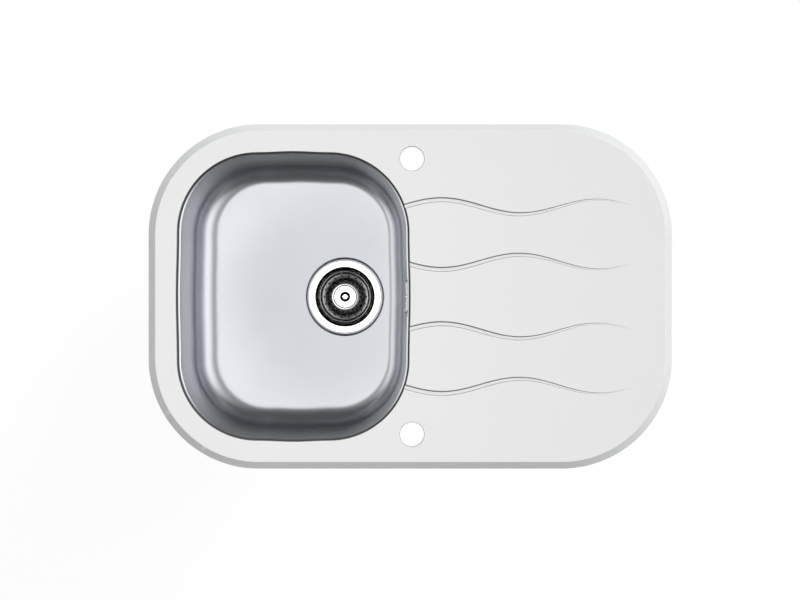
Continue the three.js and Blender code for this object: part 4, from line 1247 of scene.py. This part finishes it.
def makeNut(name, nutNode, ringNode, place):  # drawn upwards from its spigot's end
    thread, outer, bore = nut["thread"], nut["outer"], nut["bore"]
    skirt, end = nut["skirt"], nut["end"]
    profile = [(bore, end - 0.4), (bore + 0.4, end), (outer - 1.6, end), (outer - 0.5, end - 0.5),
               (outer, end - 1.6), (outer, skirt + 0.5), (outer - 0.5, skirt), (thread + 0.4, skirt),
               (thread, skirt + 0.4), (thread, nut["ring"]), (bore, nut["ring"])]
    piece = turned(name, profile, origin, 72, closed=True)
    grip = block(((outer - 1) * mm, -1.5 * mm, (skirt + 1) * mm),
                 ((outer + 0.8) * mm, 1.5 * mm, (end - 2) * mm))
    applied(grip, "BEVEL", width=0.6 * mm, segments=3)
    plus(piece, ringOf(grip, nut["grips"], origin))
    piece.matrix_world = place
    dressed(piece, "black_plastic", nutNode, angle=40)
    outside, length = pipe["spigot"] - 0.4, nut["ring"]
    ring = turned(name + "Ring", [(bore, 0.3), (bore + 0.3, 0), (outside - 0.6, 0), (outside, 0.8),
                                  (outside, length - 0.3), (outside - 0.3, length),
                                  (bore + 0.3, length), (bore, length - 0.3)], origin, 56, closed=True)
    ring.matrix_world = place
    dressed(ring, "gasket_rubber", ringNode)


# under the drainer

drainerStrip = {
    "inset": 25 * mm,
    "width": 25 * mm,
    "sheet": 1 * mm,
    "bend": 2 * mm,  # outside radius of the fold
    "bendSteps": 6,
    "bondMargin": 2 * mm,
}


def makeDrainerFrame():  # a strip along the panel's edge with a lip folded down inside
    low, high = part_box("drainer_frame")
    piece = panelFace("drainerFrame", high.z, drainerStrip["inset"])
    toEdit()
    radius, steps = drainerStrip["bend"], drainerStrip["bendSteps"]
    bpy.ops.mesh.inset(thickness=drainerStrip["width"] - radius)
    for i in range(steps):
        start, end = math.pi / 2 * i / steps, math.pi / 2 * (i + 1) / steps
        bpy.ops.mesh.inset(thickness=radius * (math.sin(end) - math.sin(start)),
                           depth=radius * (math.cos(end) - math.cos(start)))
    drawOn((0, 0, low.z - high.z + radius))
    bpy.ops.mesh.delete(type="ONLY_FACE")
    bpy.ops.mesh.select_all(action="SELECT")
    bpy.ops.mesh.bisect(plane_co=(low.x, 0, 0), plane_no=(1, 0, 0), clear_inner=True)
    toObject()
    thickened(piece, drainerStrip["sheet"])
    return dressed(piece, "zinc_steel", "drainer_frame")


def makeFrameBond():
    low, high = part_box("frame_bond")
    margin, inset = drainerStrip["bondMargin"], drainerStrip["inset"]
    piece = raised(panelFace("frameBond", low.z, inset + margin), high.z - low.z)
    minus(piece, raised(panelFace("inner", low.z - mm, inset + drainerStrip["width"] - margin), 4 * mm))
    minus(piece, block((panelLow.x, panelLow.y, low.z - mm), (low.x, panelHigh.y, high.z + mm)))
    return dressed(piece, "adhesive", "frame_bond")


clip = {
    "turns": (90, 90, 0, -90, -90, 180),
    "drawn": 3,  # the clip that is modelled; the others are its copies
    "sheet": 2 * mm,
    "fold": 1 * mm,  # inside radius
    "backset": 8 * mm,
    "bore": 3.3 * mm,
    "clawSheet": 2.5 * mm,
    "clawFold": 0.5 * mm,
    "foldSteps": 6,
    "teeth": 3.6 * mm,  # their pitch along the claw's tip
    "sliver": 0.005 * mm,
}


def clipAxis(number):
    low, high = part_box(f"clip_{number}_screw")
    return Vector(((low.x + high.x) / 2, (low.y + high.y) / 2, 0))


clipSpot = clipAxis(clip["drawn"])


def makeBracket():
    low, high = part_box(f"clip_{clip['drawn']}_bracket")
    sheet, fold = clip["sheet"], clip["fold"]
    web = clipSpot.x - clip["backset"]
    piece = faceStart("clipBracket", (low.x, middle.y, high.z - sheet / 2), (sheet, high.y - low.y),
                      (0, math.pi / 2, 0))
    drawOn((web - fold - low.x, 0, 0))
    topFold = (web - fold, middle.y, high.z - sheet - fold)
    spun(clip["foldSteps"], -90, topFold, (0, 1, 0))
    tabFold = (web + sheet + fold, middle.y, low.z + sheet + fold)
    drawOn((0, 0, tabFold[2] - topFold[2]))
    spun(clip["foldSteps"], 90, tabFold, (0, 1, 0))
    drawOn((high.x - tabFold[0], 0, 0))
    bevelled(lambda edge: abs(edge.verts[0].co.z - edge.verts[1].co.z) > sheet * 0.9
             and min(abs(middleOf(edge).x - low.x), abs(middleOf(edge).x - high.x)) < near, 3 * mm, 5)
    minus(facedOut(piece), post(clip["bore"], clipSpot, low.z - mm, low.z + 4 * mm))
    return edgesBroken(piece)


def makeClipScrew():
    low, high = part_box(f"clip_{clip['drawn']}_screw")
    foot, tip = low.z / mm, high.z / mm
    neck = foot + 4
    profile = [(0, foot), (4.6, foot), (5.3, foot + 0.5), (5.5, foot + 1.2), (5.5, neck - 0.4),
               (5.1, neck), (3, neck), (3, neck + 5.8)]
    profile += threaded(3, 2.45, neck + 5.8, tip - 1.4, 1.2) + [(2.4, tip - 0.8), (1.8, tip), (0, tip)]
    piece = turned("clipScrew", profile, clipSpot, 24)
    slot = block(clipSpot + Vector((-4.2, -0.6, foot - 1)) * mm,
                 clipSpot + Vector((4.2, 0.6, foot + 1.5)) * mm)
    minus(piece, copied(slot, "across", turnAbout(clipSpot, 90)))
    return minus(piece, slot)


def makeClaw():
    low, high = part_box(f"clip_{clip['drawn']}_claw")
    sheet, fold = clip["clawSheet"], clip["clawFold"]
    width = high.x - low.x
    top = high.z - 3 * mm
    piece = faceStart("clipClaw", (clipSpot.x, clipSpot.y, top - sheet / 2), (width, sheet),
                      (math.pi / 2, 0, 0))
    tipFold = (clipSpot.x, high.y - sheet - fold, top + fold)
    drawOn((0, tipFold[1] - clipSpot.y, 0))
    spun(clip["foldSteps"], -90, tipFold, (1, 0, 0))
    drawOn((0, 0, high.z - tipFold[2]))
    facedOut(piece)
    for step in (-1, 0, 1):
        x = clipSpot.x + step * clip["teeth"]
        notch = rod(1.5 * mm, (x, high.y - 8 * mm, high.z), (x, high.y + mm, high.z), steps=4)
        minus(piece, notch)
    plus(piece, post(width / 2, clipSpot, low.z, top, 40))
    minus(piece, post(clip["bore"], clipSpot, low.z - mm, top + mm))
    edgesBroken(piece)
    toEdit()
    bpy.ops.mesh.dissolve_degenerate(threshold=clip["sliver"])  # where the plate meets its round end
    toObject()
    return piece


def makeClips():
    drawn = {"bracket": makeBracket(), "screw": makeClipScrew(), "claw": makeClaw()}
    rides = {"bracket": "sink", "screw": "clip_{}_drive", "claw": "clip_{}_jaw"}
    for number, turn in enumerate(clip["turns"], 1):
        move = (Matrix.Translation(clipAxis(number)) @ Matrix.Rotation(math.radians(turn), 4, "Z")
                @ Matrix.Translation(-clipSpot))
        for kind, piece in drawn.items():
            twin = copied(piece, f"clip{number}{kind.title()}", move)
            dressed(twin, "zinc_steel", f"clip_{number}_{kind}", rides[kind].format(number), angle=40)
    for piece in drawn.values():
        bpy.data.objects.remove(piece)


# stage


shot = {
    "lens": 88.6,
    "sensor": 36,
    "above": 2857 * mm,  # over the glass
    "aside": Vector((-14.9 * mm, -5.1 * mm, 0)),  # from the middle of the panel
    "keyFrom": Vector((2, 2, 0.6)),
    "keyPower": 5.5,
    "keySoftness": 24,
    "floorSize": 40,
    "floorDrop": 2 * mm,
    "floorGlow": 0.85,  # how much of the floor's look is plain white; the rest takes the shadow
}
studio = {  # soft lamps painted on the sky; places are parts of the sky's unit sphere
    "fill": 0.1,
    "overhead": 3.1,
    "overheadSpot": -0.066,
    "overheadReach": 0.23,
    "rim": 0.34,  # a weak ring of light beside the overhead lamp
    "rightLamp": 1.15,
    "leftLamp": 0.9,
    "horizon": 0.9,
}


def makeSky():
    world = bpy.data.worlds.new("studio")
    bpy.context.scene.world = world
    world.use_nodes = True
    tree = world.node_tree
    direction = addNode(tree, "ShaderNodeTexCoord", output="Generated")
    height = axisOf(direction, "Z")
    right = axisOf(direction, "X")
    deep = abs(axisOf(direction, "Y"))
    fromLamp = ((right - studio["overheadSpot"]) ** 2.0 + (deep * 0.8) ** 2.0) ** 0.5
    across = ramp(deep, 0.62, 0.3)
    sides = (ramp(abs(right), 0.08, 0.25) * studio["rim"]
             + ramp(right, 0.3, 0.62) * studio["rightLamp"]
             + ramp(right, -0.42, -0.6) * studio["leftLamp"])
    light = (ramp(fromLamp, studio["overheadReach"], 0.0) * studio["overhead"] + studio["fill"]
             + across * sides + ramp(height, 0.24, 0.1) * studio["horizon"])
    tree.nodes["Background"].inputs["Color"].default_value = grey(1)
    tree.links.new(light.socket, tree.nodes["Background"].inputs["Strength"])


def paleFloor():  # white to the camera, to gloss and through glass, but for the object's shadow
    material, tree, shader = newMaterial("paleFloor", Base_Color=grey(0.8), Roughness=0.9)
    shown = addNode(tree, "ShaderNodeLightPath", output="Is Camera Ray")
    for ray in ("Is Glossy Ray", "Is Transmission Ray"):
        shown = shown.maths("MAXIMUM", shown, addNode(tree, "ShaderNodeLightPath", output=ray))
    matt = Wire(tree, shader.outputs[0])
    glow = addNode(tree, "ShaderNodeEmission", {}, {"Color": grey(1.0), "Strength": 1.06})
    bright = addNode(tree, "ShaderNodeMixShader", {}, {0: shot["floorGlow"], 1: matt, 2: glow})
    mixed = addNode(tree, "ShaderNodeMixShader", {}, {0: shown, 1: matt, 2: bright})
    tree.links.new(mixed.socket, tree.nodes["Material Output"].inputs["Surface"])
    return material


def makeStage():
    makeSky()
    freshStart()
    bpy.ops.object.light_add(type="SUN", location=middle + shot["keyFrom"])
    key = bpy.context.object
    key.data.energy = shot["keyPower"]
    key.data.angle = math.radians(shot["keySoftness"])
    key.visible_glossy = False
    key.rotation_euler = shot["keyFrom"].to_track_quat("Z", "Y").to_euler()
    floorZ = cadBox[0].z - shot["floorDrop"]
    bpy.ops.mesh.primitive_plane_add(size=shot["floorSize"], location=(0, middle.y, floorZ))
    floor = bpy.context.object
    floor.name = "floor"
    floor.data.materials.append(paleFloor())
    spot = middle + shot["aside"]
    bpy.ops.object.camera_add(location=(spot.x, spot.y, glassTop + shot["above"]), rotation=(0, 0, 0))
    camera = bpy.context.object
    camera.data.lens = shot["lens"]
    camera.data.sensor_width = shot["sensor"]
    bpy.context.scene.camera = camera
    bpy.context.scene.view_settings.view_transform = "Standard"


makePanel()
makeRimSeal()
print("glass panel done")
makeBowl()
makeBond()
makePad()
print("bowl done")
makeStrainer()
makeGasket("flangeGasket", "flange_gasket")
makeGasket("wasteGasket", "waste_gasket")
makeBasket()
makeStopper()
makeKnob()
makeStem()
makeWasteScrew()
makeWasteNut()
makeWasteBody()
makeWasteOutlet()
print("waste done")
makeCover()
makeCoverScrew()
makeSeal()
makeElbow()
makePipe()
makeNut("upperNut", "overflow_nut_upper", "overflow_ring_upper",
        Matrix.Translation((pipeX, middle.y, elbowLow.z)) @ Matrix.Rotation(math.pi, 4, "Y"))
makeNut("lowerNut", "overflow_nut_lower", "overflow_ring_lower",
        Matrix.Translation((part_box("waste_body")[1].x, middle.y, inletZ))
        @ Matrix.Rotation(math.pi / 2, 4, "Y"))
print("overflow done")
makeDrainerFrame()
makeFrameBond()
makeClips()
print("clips done")
makeStage()
print("stage done")
